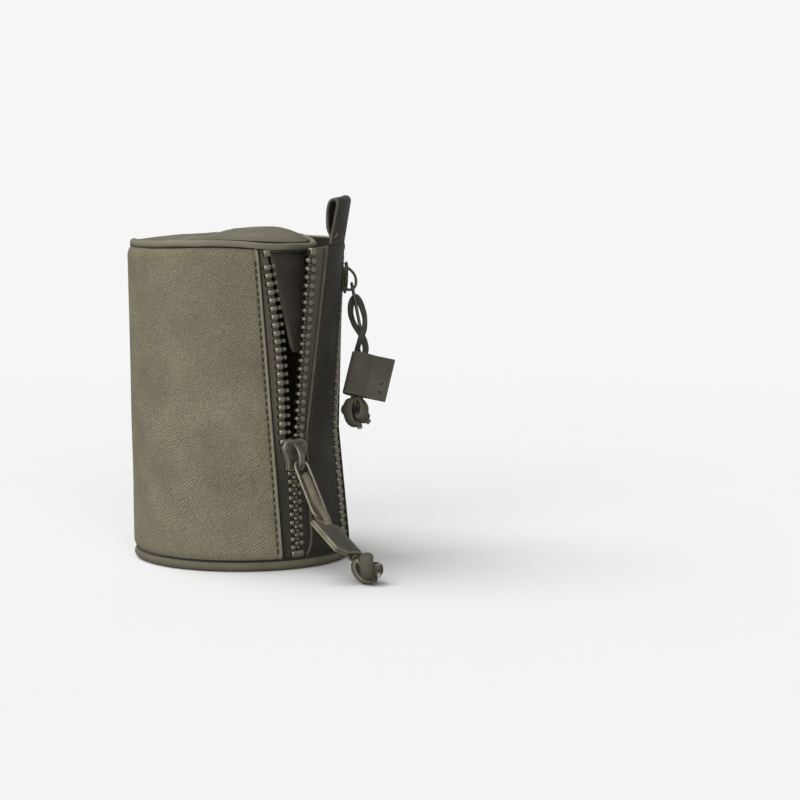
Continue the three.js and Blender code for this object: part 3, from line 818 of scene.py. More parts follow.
@dataclass(frozen=True)
class PouchForm:
    """The pouch's surface: its sizes, and the points on it."""

    base_radius: float = 49.5 * MM
    wall_height: float = 145 * MM
    cap_half_width: float = 43.5 * MM
    cap_half_depth: float = 47 * MM
    cap_shift: float = -8 * MM
    stand_radius: float = 47.3 * MM
    mouth_swing: float = math.radians(15.5)
    slider_swing: float = math.radians(3)
    cap_swing: float = math.radians(0.8)
    zip_angle: float = math.radians(33.2)
    zip_half_gap: float = 7.5 * MM
    strip_width: float = 22.5 * MM
    strip_drop: float = 1.5 * MM
    slider_top: float = 58.75 * MM
    stand_reach: float = 12 * MM
    drawn_reach: float = 70 * MM
    rear_corner_drop: float = 4 * MM
    wrap_corner_drop: float = 1.5 * MM
    piping_radius: float = 2.2 * MM
    piping_inset: float = 2.4 * MM
    seat_gap: float = 0.3 * MM
    leather: float = 1.4 * MM
    tape_sewn: float = 6 * MM
    hem_seam: float = 2.2 * MM
    hem_groove: float = 0.4 * MM
    hem_groove_width: float = 0.6 * MM
    hem_rise: float = 0.3 * MM
    top_tuck: float = 2.4 * MM
    top_tuck_reach: float = 6 * MM
    foot_tuck: float = 1.3 * MM
    foot_tuck_reach: float = 4 * MM
    slack: float = 0.9 * MM
    fine_slack: float = 0.35 * MM
    pucker: float = 0.28 * MM
    rim_drops: tuple[float, ...] = tuple(d * MM for d in (-0.2, 2.3, 3.8, 2.2, 5.2, 6.0, 2.6, 1.1))

    @property
    def strip_front(self) -> float:
        """Offset of the strip's front edge."""
        return self.zip_half_gap

    @property
    def strip_rear(self) -> float:
        """Offset of the strip's rear edge."""
        return self.strip_front + self.strip_width

    @property
    def rear_zip(self) -> float:
        """Offset of the rear zip's middle."""
        return self.strip_rear + self.zip_half_gap

    @property
    def wrap_rear(self) -> float:
        """Offset of the wrap's rear edge."""
        return self.rear_zip + self.zip_half_gap

    @property
    def wrap_bottom(self) -> float:
        """Height of the wrap's lower edge."""
        return 2 * self.piping_radius + 2 * self.seat_gap

    @property
    def wrap_run(self) -> float:
        """Distance round the base from the rear zip's edge to the front zip's edge."""
        return 2 * math.pi * self.base_radius - self.wrap_rear - self.zip_half_gap

    @property
    def strip_top(self) -> float:
        """Height of the strip's top."""
        return self.wall_height - self.strip_drop

    def levels(self, standing: bool, z: float) -> tuple[Level, Level]:
        """Finds the two sections that a height lies between.

        Args:
            standing: Whether it is on the side that stands, and not on the drawn-in side.
            z: The height.

        Returns:
            The sections below and above it.
        """
        base = Level(0.0, 0.0, self.base_radius, self.base_radius, 0.0)
        cap = Level(self.wall_height, self.cap_shift, self.cap_half_width, self.cap_half_depth,
                    self.cap_swing)
        share = self.slider_top / self.wall_height
        mouth = Level(
            self.slider_top,
            self.cap_shift * share,
            lerp(self.base_radius, self.cap_half_width, share),
            lerp(self.base_radius, self.cap_half_depth, share),
            self.slider_swing,
        )
        stand = Level(self.wall_height, 0.0, self.stand_radius, self.stand_radius, self.mouth_swing)
        if z <= self.slider_top:
            return base, mouth
        return mouth, stand if standing else cap

    def between(self, standing: bool, z: float, turn_of: Callable[[Level], float], depth: float) -> Vector:
        """Returns the point between two sections.

        Args:
            standing: Whether it is on the side that stands.
            z: Its height.
            turn_of: Gives its turn on a section.
            depth: Its depth below the surface.

        Returns:
            The point.
        """
        low, high = self.levels(standing, z)
        share = (z - low.z) / (high.z - low.z)
        return low.point(turn_of(low), depth).lerp(high.point(turn_of(high), depth), share)

    def wall_point(self, offset: float, z: float, depth: float) -> Vector:
        """Returns a point on the drawn-in wall, at an offset from the front zip's middle."""
        return self.between(False, z, lambda level: level.turn(self.zip_angle, offset), depth)

    def stand_point(self, offset: float, z: float, depth: float) -> Vector:
        """Returns a point on the side that stands: the strip, the rear zip and the wrap's rear edge."""
        return self.between(True, z, lambda level: level.turn(self.zip_angle, offset), depth)

    def wrap_point(self, a: float, z: float, depth: float) -> Vector:
        """Returns a point on the wrap.

        Args:
            a: Distance round the base from the rear zip's edge, which grows to the right seen from outside.
            z: Height.
            depth: Depth below the surface.

        Returns:
            The point.
        """
        share = 1 - a / self.wrap_run

        def turn_of(level: Level) -> float:
            """Returns the turn of the place on a section."""
            end = level.turn(self.zip_angle, self.wrap_rear) - 2 * math.pi
            return lerp(self.front_edge(level, 0.0), end, share)
        drawn = self.between(False, z, turn_of, depth)
        standing = self.between(True, z, turn_of, depth)
        return drawn.lerp(standing, 1 - ease(a, self.stand_reach, self.drawn_reach))

    def front_edge(self, level: Level, inset: float) -> float:
        """Returns the turn of the wrap's front edge, which hangs plumb, or of a line inside it."""
        return level.turn(self.zip_angle - level.swing, -self.zip_half_gap - inset)

    def front_sewn(self, z: float, inset: float, depth: float) -> Vector:
        """Returns a point behind the wrap's front edge, where the zip's tape is sewn."""
        return self.between(False, z, lambda level: self.front_edge(level, inset), depth)

    def slump(self, x: float, y: float) -> float:
        """Returns how far the soft top's rim has sunk, in the direction of a point on the lid.

        Args:
            x: The point's place across the lid.
            y: The point's place from front to back.

        Returns:
            The drop.
        """
        count = len(self.rim_drops)
        turn = math.atan2((x - self.cap_shift) / self.cap_half_width, -y / self.cap_half_depth)
        first, share = divmod(turn / (2 * math.pi) * count, 1.0)
        near = [self.rim_drops[int(first + k) % count] for k in (-1, 0, 1, 2)]
        return through(*near, share)

    def hem(self, inside: float) -> float:
        """Returns the depth of the groove that an edge is sewn in, less the rise of its turned edge."""
        groove = self.hem_groove * math.exp(-((inside - self.hem_seam) / self.hem_groove_width) ** 2)
        return groove - self.hem_rise * (1 - ease(inside, 0.6 * self.hem_seam, 0.85 * self.hem_seam))

    def softness(self, a: float, z: float) -> tuple[float, float, float]:
        """Returns how the wall gives way at a place on the wrap.

        Args:
            a: Distance round the base from the rear zip's edge.
            z: Height on the flat cut.

        Returns:
            How far up the soft top it is, how near the rear corner, and how far the rim has sunk there.
        """
        upper = clamp((z - self.slider_top) / (self.wall_height - self.slider_top))
        corner = 1 - ease(a, 0.0, self.drawn_reach)
        top = self.wrap_point(a, self.wall_height, 0.0)
        return upper, corner, self.slump(top.x, top.y)

    def soft_wrap(self, a: float, z: float, depth: float) -> Vector:
        """Returns a point on the wrap as it really lies: tucked in at its seams, slumped and a little slack.

        Args:
            a: Distance round the base from the rear zip's edge.
            z: Height on the flat cut.
            depth: Depth below the leather's face.

        Returns:
            The point.
        """
        upper, corner, sunk = self.softness(a, z)
        height = z - self.wrap_corner_drop * upper * corner - sunk * upper ** 1.5 * (1 - corner)
        near_top = clamp((z - self.wall_height + self.top_tuck_reach) / self.top_tuck_reach)
        near_foot = clamp((self.wrap_bottom + self.foot_tuck_reach - z) / self.foot_tuck_reach)
        tuck = self.top_tuck * near_top ** 2.5 * (1 - 0.8 * corner)
        tuck += self.foot_tuck * near_foot ** 2.5
        tuck += self.hem(a) + self.hem(self.wrap_run - a)
        free = ease(a, 0.0, 30 * MM) * ease(self.wrap_run - a, 0.0, 25 * MM)
        spot = Vector((a * 22, z * 14, 0.3))
        slack = self.slack * noise.noise(spot) + self.fine_slack * noise.noise(spot * 2.7)
        foot_seam = math.exp(-((z - self.wrap_bottom) / (7 * MM)) ** 2)
        top_seam = math.exp(-((z - self.wall_height) / (8 * MM)) ** 2)
        pucker = self.pucker * (foot_seam + top_seam) * noise.noise(Vector((a * 120, z * 25, 4.1)))
        middle = math.sin(math.pi * clamp(z / self.wall_height)) ** 0.7
        return self.wrap_point(a, height, depth + tuck - free * (slack * middle + pucker))

    def cap_rim(self, turn: float, inset: float, rise: float) -> Vector:
        """Returns a point round the lid, slumped as the lid is.

        Args:
            turn: The turn round the lid from its front.
            inset: Distance in from the lid's edge.
            rise: Height above the top seam.

        Returns:
            The point.
        """
        point = Vector((
            self.cap_shift + (self.cap_half_width - inset) * math.sin(turn),
            -(self.cap_half_depth - inset) * math.cos(turn),
            self.wall_height + rise,
        ))
        point.z -= self.slump(point.x, point.y)
        return point

    def base_rim(self, turn: float, inset: float, z: float) -> Vector:
        """Returns a point round the base, in from its edge."""
        reach = self.base_radius - inset
        return Vector((reach * math.sin(turn), -reach * math.cos(turn), z))


FORM = PouchForm()


@dataclass(frozen=True)
class Stitching:
    """A row of stitches: their sizes, and how they are made."""

    pitch: float = 3.3 * MM
    length: float = 2.5 * MM
    radius: float = 0.32 * MM
    sink: float = 0.25 * MM

    def build(self, name: str, line: Callable[[float, float], Vector], run: tuple[float, float],
              thread: Material) -> Object:
        """Builds the row.

        Args:
            name: The piece's name.
            line: Gives the point at a distance along the row and a depth below the leather's face.
            run: Where the row starts and ends.
            thread: The thread's finish.

        Returns:
            The row as one object.
        """
        maker = MeshMaker()
        start, end = run
        for k in range(int((end - start) / self.pitch)):
            first = start + k * self.pitch
            shape = [(0.0, self.sink), (0.18, -0.3 * self.radius), (0.5, -0.6 * self.radius),
                     (0.82, -0.3 * self.radius), (1.0, self.sink)]
            maker.add_tube([line(first + s * self.length, d) for s, d in shape], self.radius, sides=6)
        return maker.make(name, thread)


def ring_of(rim: Rim, count: int) -> list[Vector]:
    """Returns points once round a rim, at even turns."""
    return [rim(2 * math.pi * k / count) for k in range(count)]


def soft_square(power: float) -> list[Flat]:
    """Finds points round a square with soft corners.

    Args:
        power: How soft the corners are, from 0 for a square to 1 for a circle.

    Returns:
        The points, on a square with a half width of 1.
    """
    count = 12
    points = []
    for k in range(count):
        angle = 2 * math.pi * k / count
        c, s = math.cos(angle), math.sin(angle)
        points.append((math.copysign(abs(c) ** power, c), math.copysign(abs(s) ** power, s)))
    return points


def swept(name: str, finish: Material, path: Sequence[Vector], radius: float | Sequence[float],
          **shape: object) -> Object:
    """Makes a piece of one tube.

    Args:
        name: The piece's name.
        finish: Its finish.
        path: Its middle line.
        radius: One radius, or one for each point.
        shape: What else a tube takes.

    Returns:
        The piece.
    """
    maker = MeshMaker()
    maker.add_tube(path, radius, **shape)
    return maker.make(name, finish)


def skinned(name: str, finish: Material, rings: Sequence[Sequence[Vector]]) -> Object:
    """Makes a piece of one skin.

    Args:
        name: The piece's name.
        finish: Its finish.
        rings: The closed rings that the skin lies over.

    Returns:
        The piece.
    """
    maker = MeshMaker()
    maker.add_rings(rings)
    return maker.make(name, finish)


class Fold:
    """The side view of a folded strip of leather: a smooth line, and the places beside it."""

    def __init__(self, corners: Sequence[Flat], steps: int) -> None:
        """Runs the line.

        Args:
            corners: What the line passes through.
            steps: How many steps each span is cut into.
        """
        self.points = smooth_path([Vector((x, y, 0.0)) for x, y in corners], steps)
        self.runs = [0.0]
        for a, b in zip(self.points, self.points[1:]):
            self.runs.append(self.runs[-1] + (b - a).length)

    @property
    def length(self) -> float:
        """The line's whole length."""
        return self.runs[-1]

    def point(self, run: float, aside: float) -> Vector:
        """Returns a point beside the line.

        Args:
            run: Distance along the line, held at its ends.
            aside: Distance to the line's right.

        Returns:
            The point.
        """
        run = clamp(run, 0.0, self.length)
        i = max(k for k in range(len(self.runs) - 1) if self.runs[k] <= run)
        share = (run - self.runs[i]) / (self.runs[i + 1] - self.runs[i])
        ahead = (self.points[i + 1] - self.points[i]).normalized()
        right = Vector((ahead.y, -ahead.x, 0.0))
        return self.points[i].lerp(self.points[i + 1], share) + right * aside


@dataclass(frozen=True)
class Shell:
    """The pouch's wall, lid and base, with what pads and lines them."""

    palette: Palette
    padding: float = 3.0 * MM
    lining: float = 0.8 * MM
    lining_inset: float = 1.2 * MM
    inner_bottom: float = 6.9 * MM
    inner_top: float = 143 * MM
    crown: float = 4.0 * MM
    rim_inset: float = 2.9 * MM
    rim_rise: float = 0.7 * MM
    rim_radius: float = 1.8 * MM
    lid_inset: float = 4.2 * MM
    lid_sink: float = 0.7 * MM
    turns: int = 120

    def build(self) -> None:
        """Builds every piece of the shell."""
        self.build_wrap()
        self.build_inside()
        self.build_lid()
        self.build_rim()
        self.build_lid_inside()
        self.build_base()
        self.build_tongue()

    def build_wrap(self) -> None:
        """Builds the outer leather with its stitched edges."""
        half = FORM.leather / 2
        run = FORM.wrap_run
        band = 0.62 * FORM.hem_seam

        def spot(s: float, t: float) -> Flat:
            """Returns a place on the wrap's cut, with more of them near its two edges."""
            bunched = s - 0.85 * math.sin(2 * math.pi * s) / (2 * math.pi)
            return lerp(half, run - half, bunched), lerp(FORM.wrap_bottom + half, FORM.wall_height, t)

        def turned(corners: list[Offset]) -> int | None:
            """Returns the finish of the front edge, which is turned, or of the rear one, which takes the
            darker leather back as painted shade.
            """
            a = sum(c[0] for c in corners) / len(corners)
            if run - a < band:
                return 1
            # The rear edge's outer face takes the leather back's darker colour as painted shade
            return 2 if a < 2 * band else None
        maker = MeshMaker()
        maker.add_panel(spot, FORM.soft_wrap, (230, 110), FORM.leather, (0, 1, 2))
        maker.mark(turned)
        wrap = maker.make("wrap", self.palette.canvas, self.palette.cut_edge, self.palette.flesh_and_edge_shade)
        settle(wrap, Slot.CANVAS, Body.POUCH, "wrap_panel")
        low, high, steps = FORM.wrap_bottom, FORM.wall_height - 2 * MM, 60
        # A dark tube at the foot of the wrap's front edge, as painted shade in the groove beside the tape
        edge = [FORM.front_sewn(lerp(low, high, k / steps), -0.75 * MM, 1.45 * MM) for k in range(steps + 1)]
        settle(swept("wrap_edge_shade_line", self.palette.seam, edge, 0.42 * MM), Slot.CANVAS, Body.POUCH)
        sewing = Stitching(length=2.1 * MM, radius=0.4 * MM)
        for side, a in (("front", run - FORM.hem_seam), ("rear", FORM.hem_seam)):
            row = sewing.build(f"wrap_stitches_{side}", lambda z, d, a=a: FORM.soft_wrap(a, z, d),
                               (low + 3 * MM, high), self.palette.dark_thread)
            settle(row, Slot.CANVAS, Body.POUCH)

    def build_inside(self) -> None:
        """Builds the padding and the lining inside the wall."""
        padding_depth = FORM.leather + FORM.seat_gap
        lining_depth = padding_depth + self.padding + FORM.seat_gap
        low, high = self.inner_bottom + 1.5 * MM, self.inner_top - 3 * MM
        layers = (
            ("wall_pad", "wall_padding", padding_depth, self.padding, FORM.tape_sewn + FORM.seat_gap,
             self.palette.foam, Slot.FOAM),
            ("wall_cloth", "wall_lining", lining_depth, self.lining, self.lining_inset,
             self.palette.lining, Slot.LINING),
        )
        for name, node, depth, thickness, inset, finish, slot in layers:
            border = inset + thickness / 2

            def spot(s: float, t: float, border: float = border) -> Flat:
                """Returns a place on the layer's cut."""
                return lerp(border, FORM.wrap_run - border, s), lerp(low, high, t)

            def place(a: float, z: float, d: float, depth: float = depth) -> Vector:
                """Returns a point in the layer, slumped as the wall is."""
                upper, corner, sunk = FORM.softness(a, z)
                drop = FORM.rear_corner_drop * corner + max(0.0, sunk) * (1 - corner)
                return FORM.wrap_point(a, z - drop * upper ** 1.5, depth + d)
            maker = MeshMaker()
            maker.add_panel(spot, place, (120, 40), thickness, (0, 0, 0))
            layer = maker.make(name, finish)
            settle(layer, slot, Body.POUCH, node)

    def lid_height(self, x: float, y: float, share: float) -> float:
        """Returns the lid's rise above its edge: full on the right, slack on the left of a slanting crease.

        Args:
            x: The place across the lid.
            y: The place from front to back.
            share: How far out it is, from 0 in the middle to 1 at the edge.

        Returns:
            The rise.
        """
        beside = x - 0.21 * y
        full = 0.1 + 0.3 * ease(beside, -12 * MM, -6.5 * MM) + 0.6 * ease(x, -10 * MM, 22 * MM)
        crease = 0.6 * MM * math.exp(-((beside + 12.5 * MM) / (2.2 * MM)) ** 2)
        fold = 0.4 * MM * noise.noise(Vector((x * 60, y * 60, 2.0)))
        fold += 0.3 * MM * noise.noise(Vector((x * 150, y * 90, 5.0)))
        return self.crown * full * (1 - share ** 6) + (fold - crease) * (1 - share ** 4)

    def build_lid(self) -> None:
        """Builds the lid's leather."""
        middle = FORM.piping_radius + FORM.seat_gap
        steps = 22

        def lid_ring(share: float, drop: float) -> list[Vector]:
            """Returns a ring of the lid, a share of the way out and a drop below its face."""
            ring = []
            for k in range(self.turns):
                turn = 2 * math.pi * k / self.turns
                edge = FORM.cap_rim(turn, self.lid_inset, middle)
                x, y = lerp(FORM.cap_shift, edge.x, share), edge.y * share
                pucker = 0.5 * MM * share ** 6 * noise.noise(Vector((turn * 9, 0.0, 6.0)))
                rise = middle - self.lid_sink - FORM.slump(x, y) * share ** 2 + self.lid_height(x, y, share)
                ring.append(Vector((x, y, FORM.wall_height + rise + pucker - drop)))
            return ring
        shares = [0.02 + 0.98 * k / steps for k in range(steps + 1)]
        rings = [lid_ring(s, FORM.leather) for s in shares] + [lid_ring(s, 0.0) for s in reversed(shares)]
        settle(skinned("lid", self.palette.smooth, rings), Slot.CANVAS, Body.POUCH, "cap_leather")

    def build_rim(self) -> None:
        """Builds the lid's piping, with a dark welt under it and a dark line in the crease inside it, both
        painted shade.
        """
        def piping_point(turn: float) -> Vector:
            """Returns a point on the piping's middle line, which waves a little."""
            wave = 0.35 * MM * noise.noise(Vector((math.sin(turn) * 3, math.cos(turn) * 3, 1.0)))
            return FORM.cap_rim(turn, self.rim_inset + wave, self.rim_rise + wave)
        piping = swept("lid_piping", self.palette.piping, ring_of(piping_point, self.turns), self.rim_radius,
                       sides=14, loop=True)
        settle(piping, Slot.CANVAS, Body.POUCH, "cap_piping")
        # A dark welt under the lid's piping, as painted shade in the groove
        self.build_shade_welt("lid_shade_welt", lambda turn: FORM.cap_rim(turn, 1.7 * MM, -0.45 * MM))
        # A dark line, tapered at its ends, in the crease inside the piping round the lid's front and right
        # side, as painted shade
        rise = self.rim_rise + self.rim_radius - 0.35 * MM + 0.3 * MM
        steps = 60
        arc = [lerp(-0.3, 2.3, k / steps) for k in range(steps + 1)]
        groove = [FORM.cap_rim(turn, 4.9 * MM, rise - 1.5 * MM * max(0.0, -math.cos(turn))) for turn in arc]
        radii = [0.55 * MM * ease(k, 0, 26) * ease(steps - k, -4, 20) for k in range(steps + 1)]
        settle(swept("lid_inner_shade_line", self.palette.crease, groove, radii), Slot.CANVAS, Body.POUCH)

    def build_lid_inside(self) -> None:
        """Builds the lid's padding and its lining."""
        inner = FORM.piping_inset + FORM.piping_radius + FORM.seat_gap
        low = self.inner_top - FORM.wall_height + FORM.seat_gap

        def rings(base: float, levels: Sequence[Flat]) -> list[list[Vector]]:
            """Returns rings round the lid from a base height, each with its inset and rise in millimetres."""
            return [ring_of(lambda turn, i=i, r=r: FORM.cap_rim(turn, inner + i * MM, base + r * MM), 72)
                    for i, r in levels]
        pad = skinned("lid_pad", self.palette.foam, rings(0.0, ((1.5, -0.5), (0, 0.4), (0, 0.9), (2, 1.0))))
        settle(pad, Slot.FOAM, Body.POUCH, "cap_padding")
        cloth = skinned("lid_cloth", self.palette.lining,
                        rings(low, ((0.6, -0.4), (0, 0.0), (0, 0.4), (0.6, 0.8))))
        settle(cloth, Slot.LINING, Body.POUCH, "cap_lining")

    def build_shade_welt(self, name: str, rim: Rim) -> None:
        """Builds a dark welt in the groove beside a piping, round its rim, as painted shade along the groove.
        """
        welt = swept(name, self.palette.seam, ring_of(rim, self.turns), 0.5 * MM, loop=True)
        settle(welt, Slot.CANVAS, Body.POUCH)

    def build_base(self) -> None:
        """Builds the base's piping, the leather underside and the felt inside, and finishes the board."""
        def piping_point(turn: float) -> Vector:
            """Returns a point on the piping's middle line, which waves a little."""
            wave = 0.3 * MM * noise.noise(Vector((math.sin(turn) * 3, math.cos(turn) * 3, 8.0)))
            return FORM.base_rim(turn, FORM.piping_inset + wave, FORM.piping_radius + FORM.seat_gap)
        piping = swept("bottom_piping", self.palette.smooth, ring_of(piping_point, self.turns),
                       FORM.piping_radius, sides=14, loop=True)
        settle(piping, Slot.CANVAS, Body.POUCH, "base_piping")
        # A dark welt under the base's piping, as painted shade in the groove
        self.build_shade_welt("base_shade_welt", lambda turn: FORM.base_rim(turn, 1.3 * MM, FORM.wrap_bottom - 0.3 * MM))
        inner = FORM.piping_inset + FORM.piping_radius + FORM.seat_gap
        hollow = 20 * MM

        def disc_ring(inset: float, z: float) -> list[Vector]:
            """Returns a ring round the base at an inset and a height."""
            return ring_of(lambda turn: FORM.base_rim(turn, inset, z), 72)
        discs = (
            ("underside", "base_disc", inner, 0.0, 1.6 * MM, self.palette.smooth, Slot.CANVAS),
            ("felt_pad", "base_felt", inner + FORM.seat_gap, 4.2 * MM, 2.4 * MM, self.palette.felt,
             Slot.LINING),
        )
        for name, node, inset, z, thickness, finish, slot in discs:
            soft = thickness / 3
            section = ((hollow, z), (soft, z), (0.0, z + soft), (0.0, z + thickness - soft),
                       (soft, z + thickness), (hollow, z + thickness))
            rings = [disc_ring(inset + i, level) for i, level in section]
            settle(skinned(name, finish, rings), slot, Body.POUCH, node)
        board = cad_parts["base_board"]
        board.data.materials.clear()
        board.data.materials.append(self.palette.card)

    def build_tongue(self) -> None:
        """Builds the tongue that hangs inside the mouth."""
        length, top_width, end_width = 44.5 * MM, 30 * MM, 11 * MM
        start, slant, thickness = 0.5 * MM, 8 * MM, 1.2 * MM
        rolled_width, corner_cut = 1.9 * MM, 1.0 * MM
        depth = FORM.leather + self.padding + 2 * FORM.seat_gap
        half = thickness / 2

        def spot(s: float, t: float) -> Flat:
            """Returns a place on the tongue's cut, which narrows and slants downward."""
            width = lerp(end_width, top_width, t) - thickness
            corner = corner_cut * (1 - ease(t, 0.0, 0.05))
            left = start + slant * (1 - t) + half
            z = self.inner_top - length * (1 - t) + half * (1 - 2 * t)
            return lerp(left + corner, left + width - corner, s), z

        def place(a: float, z: float, d: float) -> Vector:
            """Returns a point in the tongue, curled a little and sunk with the rim."""
            curl = 0.7 * MM * math.sin((a - start) / top_width * math.pi) - 0.4 * MM
            top = FORM.wall_point(a, FORM.wall_height, 0.0)
            return FORM.wall_point(a, z - max(0.0, FORM.slump(top.x, top.y)), depth + d - curl)

        def rolled(corners: list[Offset]) -> int | None:
            """Returns the edge's finish for the left border."""
            a, z, _ = corners[0]
            return 1 if a - start - slant * (self.inner_top - z) / length < rolled_width else None
        maker = MeshMaker()
        maker.add_panel(spot, place, (30, 48), thickness)
        maker.mark(rolled)
        tongue = maker.make("tongue", self.palette.tongue, self.palette.dark_edge)
        settle(tongue, Slot.DARK, Body.POUCH, "inner_tongue")


@dataclass(frozen=True)
class Grip:
    """A place on a zip: its origin and its three directions."""

    origin: Vector
    across: Vector
    along: Vector
    outward: Vector

    def point(self, x: float, y: float, n: float) -> Vector:
        """Returns the point at distances across, along and outward."""
        return self.origin + self.across * x + self.along * y + self.outward * n


def grip_on(line: Place, z: float) -> Grip:
    """Finds the place on a zip's line at a height.

    Args:
        line: Gives a point on the zip for a height, an offset and a depth.
        z: The height.

    Returns:
        The place.
    """
    step = 1 * MM
    along = (line(z + step, 0.0, 0.0) - line(z - step, 0.0, 0.0)).normalized()
    sideways = line(z, step, 0.0) - line(z, -step, 0.0)
    outward = sideways.cross(along).normalized()
    return Grip(line(z, 0.0, 0.0), along.cross(outward).normalized(), along, outward)


@dataclass(frozen=True)
class Zips:
    """Both zips: tapes, teeth, stops and sliders, and the strip between them."""

    palette: Palette
    pitch: float = 3.7 * MM
    tooth_height: float = 2.9 * MM
    row_offset: float = 3.2 * MM
    row_spread: float = 2.2 * MM
    row_pull: float = 6 * MM
    row_bow: float = 2.4 * MM
    spread_run: float = 11.2 * MM
    slider_length: float = 14.5 * MM
    front_slider: float = 51.5 * MM
    rear_slider: float = 127 * MM
    bottom: float = 9 * MM
    top: float = 139 * MM
    tape_depth: float = 1.7 * MM
    tape: float = 0.8 * MM
    tape_width: float = 14 * MM
    tape_top: float = 143 * MM
    bead: float = 0.85 * MM
    tape_reach: float = 1.8 * MM
    stop_width: float = 3.6 * MM
    stop_length: float = 3.4 * MM
    bend_end: float = 98 * MM

    @property
    def front_grip(self) -> Grip:
        """The front slider's place on its zip."""
        return grip_on(self.front_middle, self.front_slider)

    @property
    def rear_grip(self) -> Grip:
        """The rear slider's place on its zip."""
        return grip_on(self.rear_middle, self.rear_slider)

    def spread(self, z: float, slider: float) -> float:
        """Returns how far a row has parted from the zip's middle above its slider."""
        start = slider + self.slider_length / 2 - self.spread_run
        return self.row_spread * clamp((z - start) / self.spread_run)

    def mouth_share(self, z: float) -> float:
        """Returns how far up the open mouth a height is, from 0 to 1."""
        return max(0.0, z - FORM.slider_top) / (FORM.wall_height - FORM.slider_top)

    def front_left(self, z: float, extra: float, depth: float) -> Vector:
        """Returns a point on the front zip's left row."""
        bow = self.row_bow * math.sin(math.pi * self.mouth_share(z))
        return FORM.wall_point(extra - self.row_offset - self.spread(z, self.front_slider) + bow, z, depth)

    def front_right(self, z: float, extra: float, depth: float) -> Vector:
        """Returns a point on the front zip's right row."""
        pull = self.row_pull * self.mouth_share(z)
        return FORM.stand_point(extra + self.row_offset + self.spread(z, self.front_slider) - pull, z, depth)

    def rear_front(self, z: float, extra: float, depth: float) -> Vector:
        """Returns a point on the rear zip's front row."""
        offset = FORM.rear_zip + extra - self.row_offset - self.spread(z, self.rear_slider)
        return FORM.stand_point(offset, z, depth)

    def rear_back(self, z: float, extra: float, depth: float) -> Vector:
        """Returns a point on the rear zip's back row."""
        offset = FORM.rear_zip + extra + self.row_offset + self.spread(z, self.rear_slider)
        return FORM.stand_point(offset, z, depth)

    def bend(self, piece: Object) -> None:
        """Bakes a piece's placement into its points, for a piece that stands between the closed zip and the
        flap.

        Args:
            piece: The piece.
        """
        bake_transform(piece)

    def seat(self, piece: Object, slot: Slot, nodes: Sequence[str]) -> None:
        """Seats a piece on the pouch, or bakes its placement and leaves it unattached where it stands for a
        solid on the flap too.

        Args:
            piece: The piece.
            slot: Passed on to settle, which does not use it.
            nodes: The solids that it stands for, the pouch's first.
        """
        bends = len(nodes) > 1
        if bends:
            self.bend(piece)
        settle(piece, slot, None if bends else Body.POUCH, *nodes)

    def build(self) -> None:
        """Builds both zips and the strip."""
        self.build_strip()
        self.build_tapes()
        self.build_rows()
        self.build_stops()
        self.build_slider("front_slider", self.front_grip, Body.FRONT_SLIDER, self.palette.slider)
        # The rear slider takes the darker metal as painted shade
        self.build_slider("rear_slider", self.rear_grip, Body.REAR_SLIDER, self.palette.shaded_rear_metal)

    def front_middle(self, z: float, extra: float, depth: float) -> Vector:
        """Returns a point on the front zip's middle line."""
        return FORM.wall_point(extra, z, depth)

    def rear_middle(self, z: float, extra: float, depth: float) -> Vector:
        """Returns a point on the rear zip's middle line."""
        return FORM.stand_point(FORM.rear_zip + extra, z, depth)

    def build_strip(self) -> None:
        """Builds the dark strip between the zips, and its stitches."""
        half = FORM.leather / 2
        flare, flare_height = 3.2 * MM, 11 * MM
        shoulder, shoulder_height = 1.5 * MM, 9 * MM
        tuck, tuck_reach = 1.2 * MM, 5 * MM
        edge_reach, seam_inset = 6 * MM, 2.2 * MM

        def spot(s: float, t: float) -> Flat:
            """Returns a place on the strip's cut, which is flared at its foot and wider at its top."""
            z = lerp(FORM.wrap_bottom + half, FORM.strip_top - half, t)
            front = FORM.strip_front + half - flare * clamp(1 - (z - FORM.wrap_bottom) / flare_height) ** 2
            wider = shoulder * ease(z, FORM.strip_top - shoulder_height, FORM.strip_top)
            return lerp(front, FORM.strip_rear + wider - half, s), z

        def place(a: float, z: float, d: float) -> Vector:
            """Returns a point in the strip, tucked in at its foot and a little cupped."""
            tucked = tuck * clamp((FORM.wrap_bottom + tuck_reach - z) / tuck_reach) ** 2
            cup = 0.5 * MM * noise.noise(Vector((a * 40, z * 18, 3.3)))
            inside = ease(a, FORM.strip_front, FORM.strip_front + edge_reach)
            inside *= ease(FORM.strip_rear - a, 0.0, edge_reach)
            return FORM.stand_point(a, z, d + tucked - cup * inside)

        def topped(corners: list[Offset]) -> int | None:
            """Returns the face's finish for the top edge, where the loop goes on."""
            return 0 if min(c[1] for c in corners) > FORM.strip_top - FORM.leather else None
        maker = MeshMaker()
        maker.add_panel(spot, place, (26, 150), FORM.leather)
        maker.mark(topped)
        strip = maker.make("strip", self.palette.dark, self.palette.dark_edge)
        self.bend(strip)
        settle(strip, Slot.DARK, None, "strip_lower", "strip_flap")
        sewing = Stitching(pitch=3.0 * MM, length=2.2 * MM, radius=0.24 * MM)
        for side, a in (("front", FORM.strip_front + seam_inset), ("rear", FORM.strip_rear - seam_inset)):
            row = sewing.build(f"strip_stitches_{side}", lambda z, d, a=a: place(a, z, d),
                               (FORM.wrap_bottom + 8 * MM, FORM.strip_top - 3 * MM), self.palette.dark_thread)
            self.bend(row)
            settle(row, Slot.DARK, None)

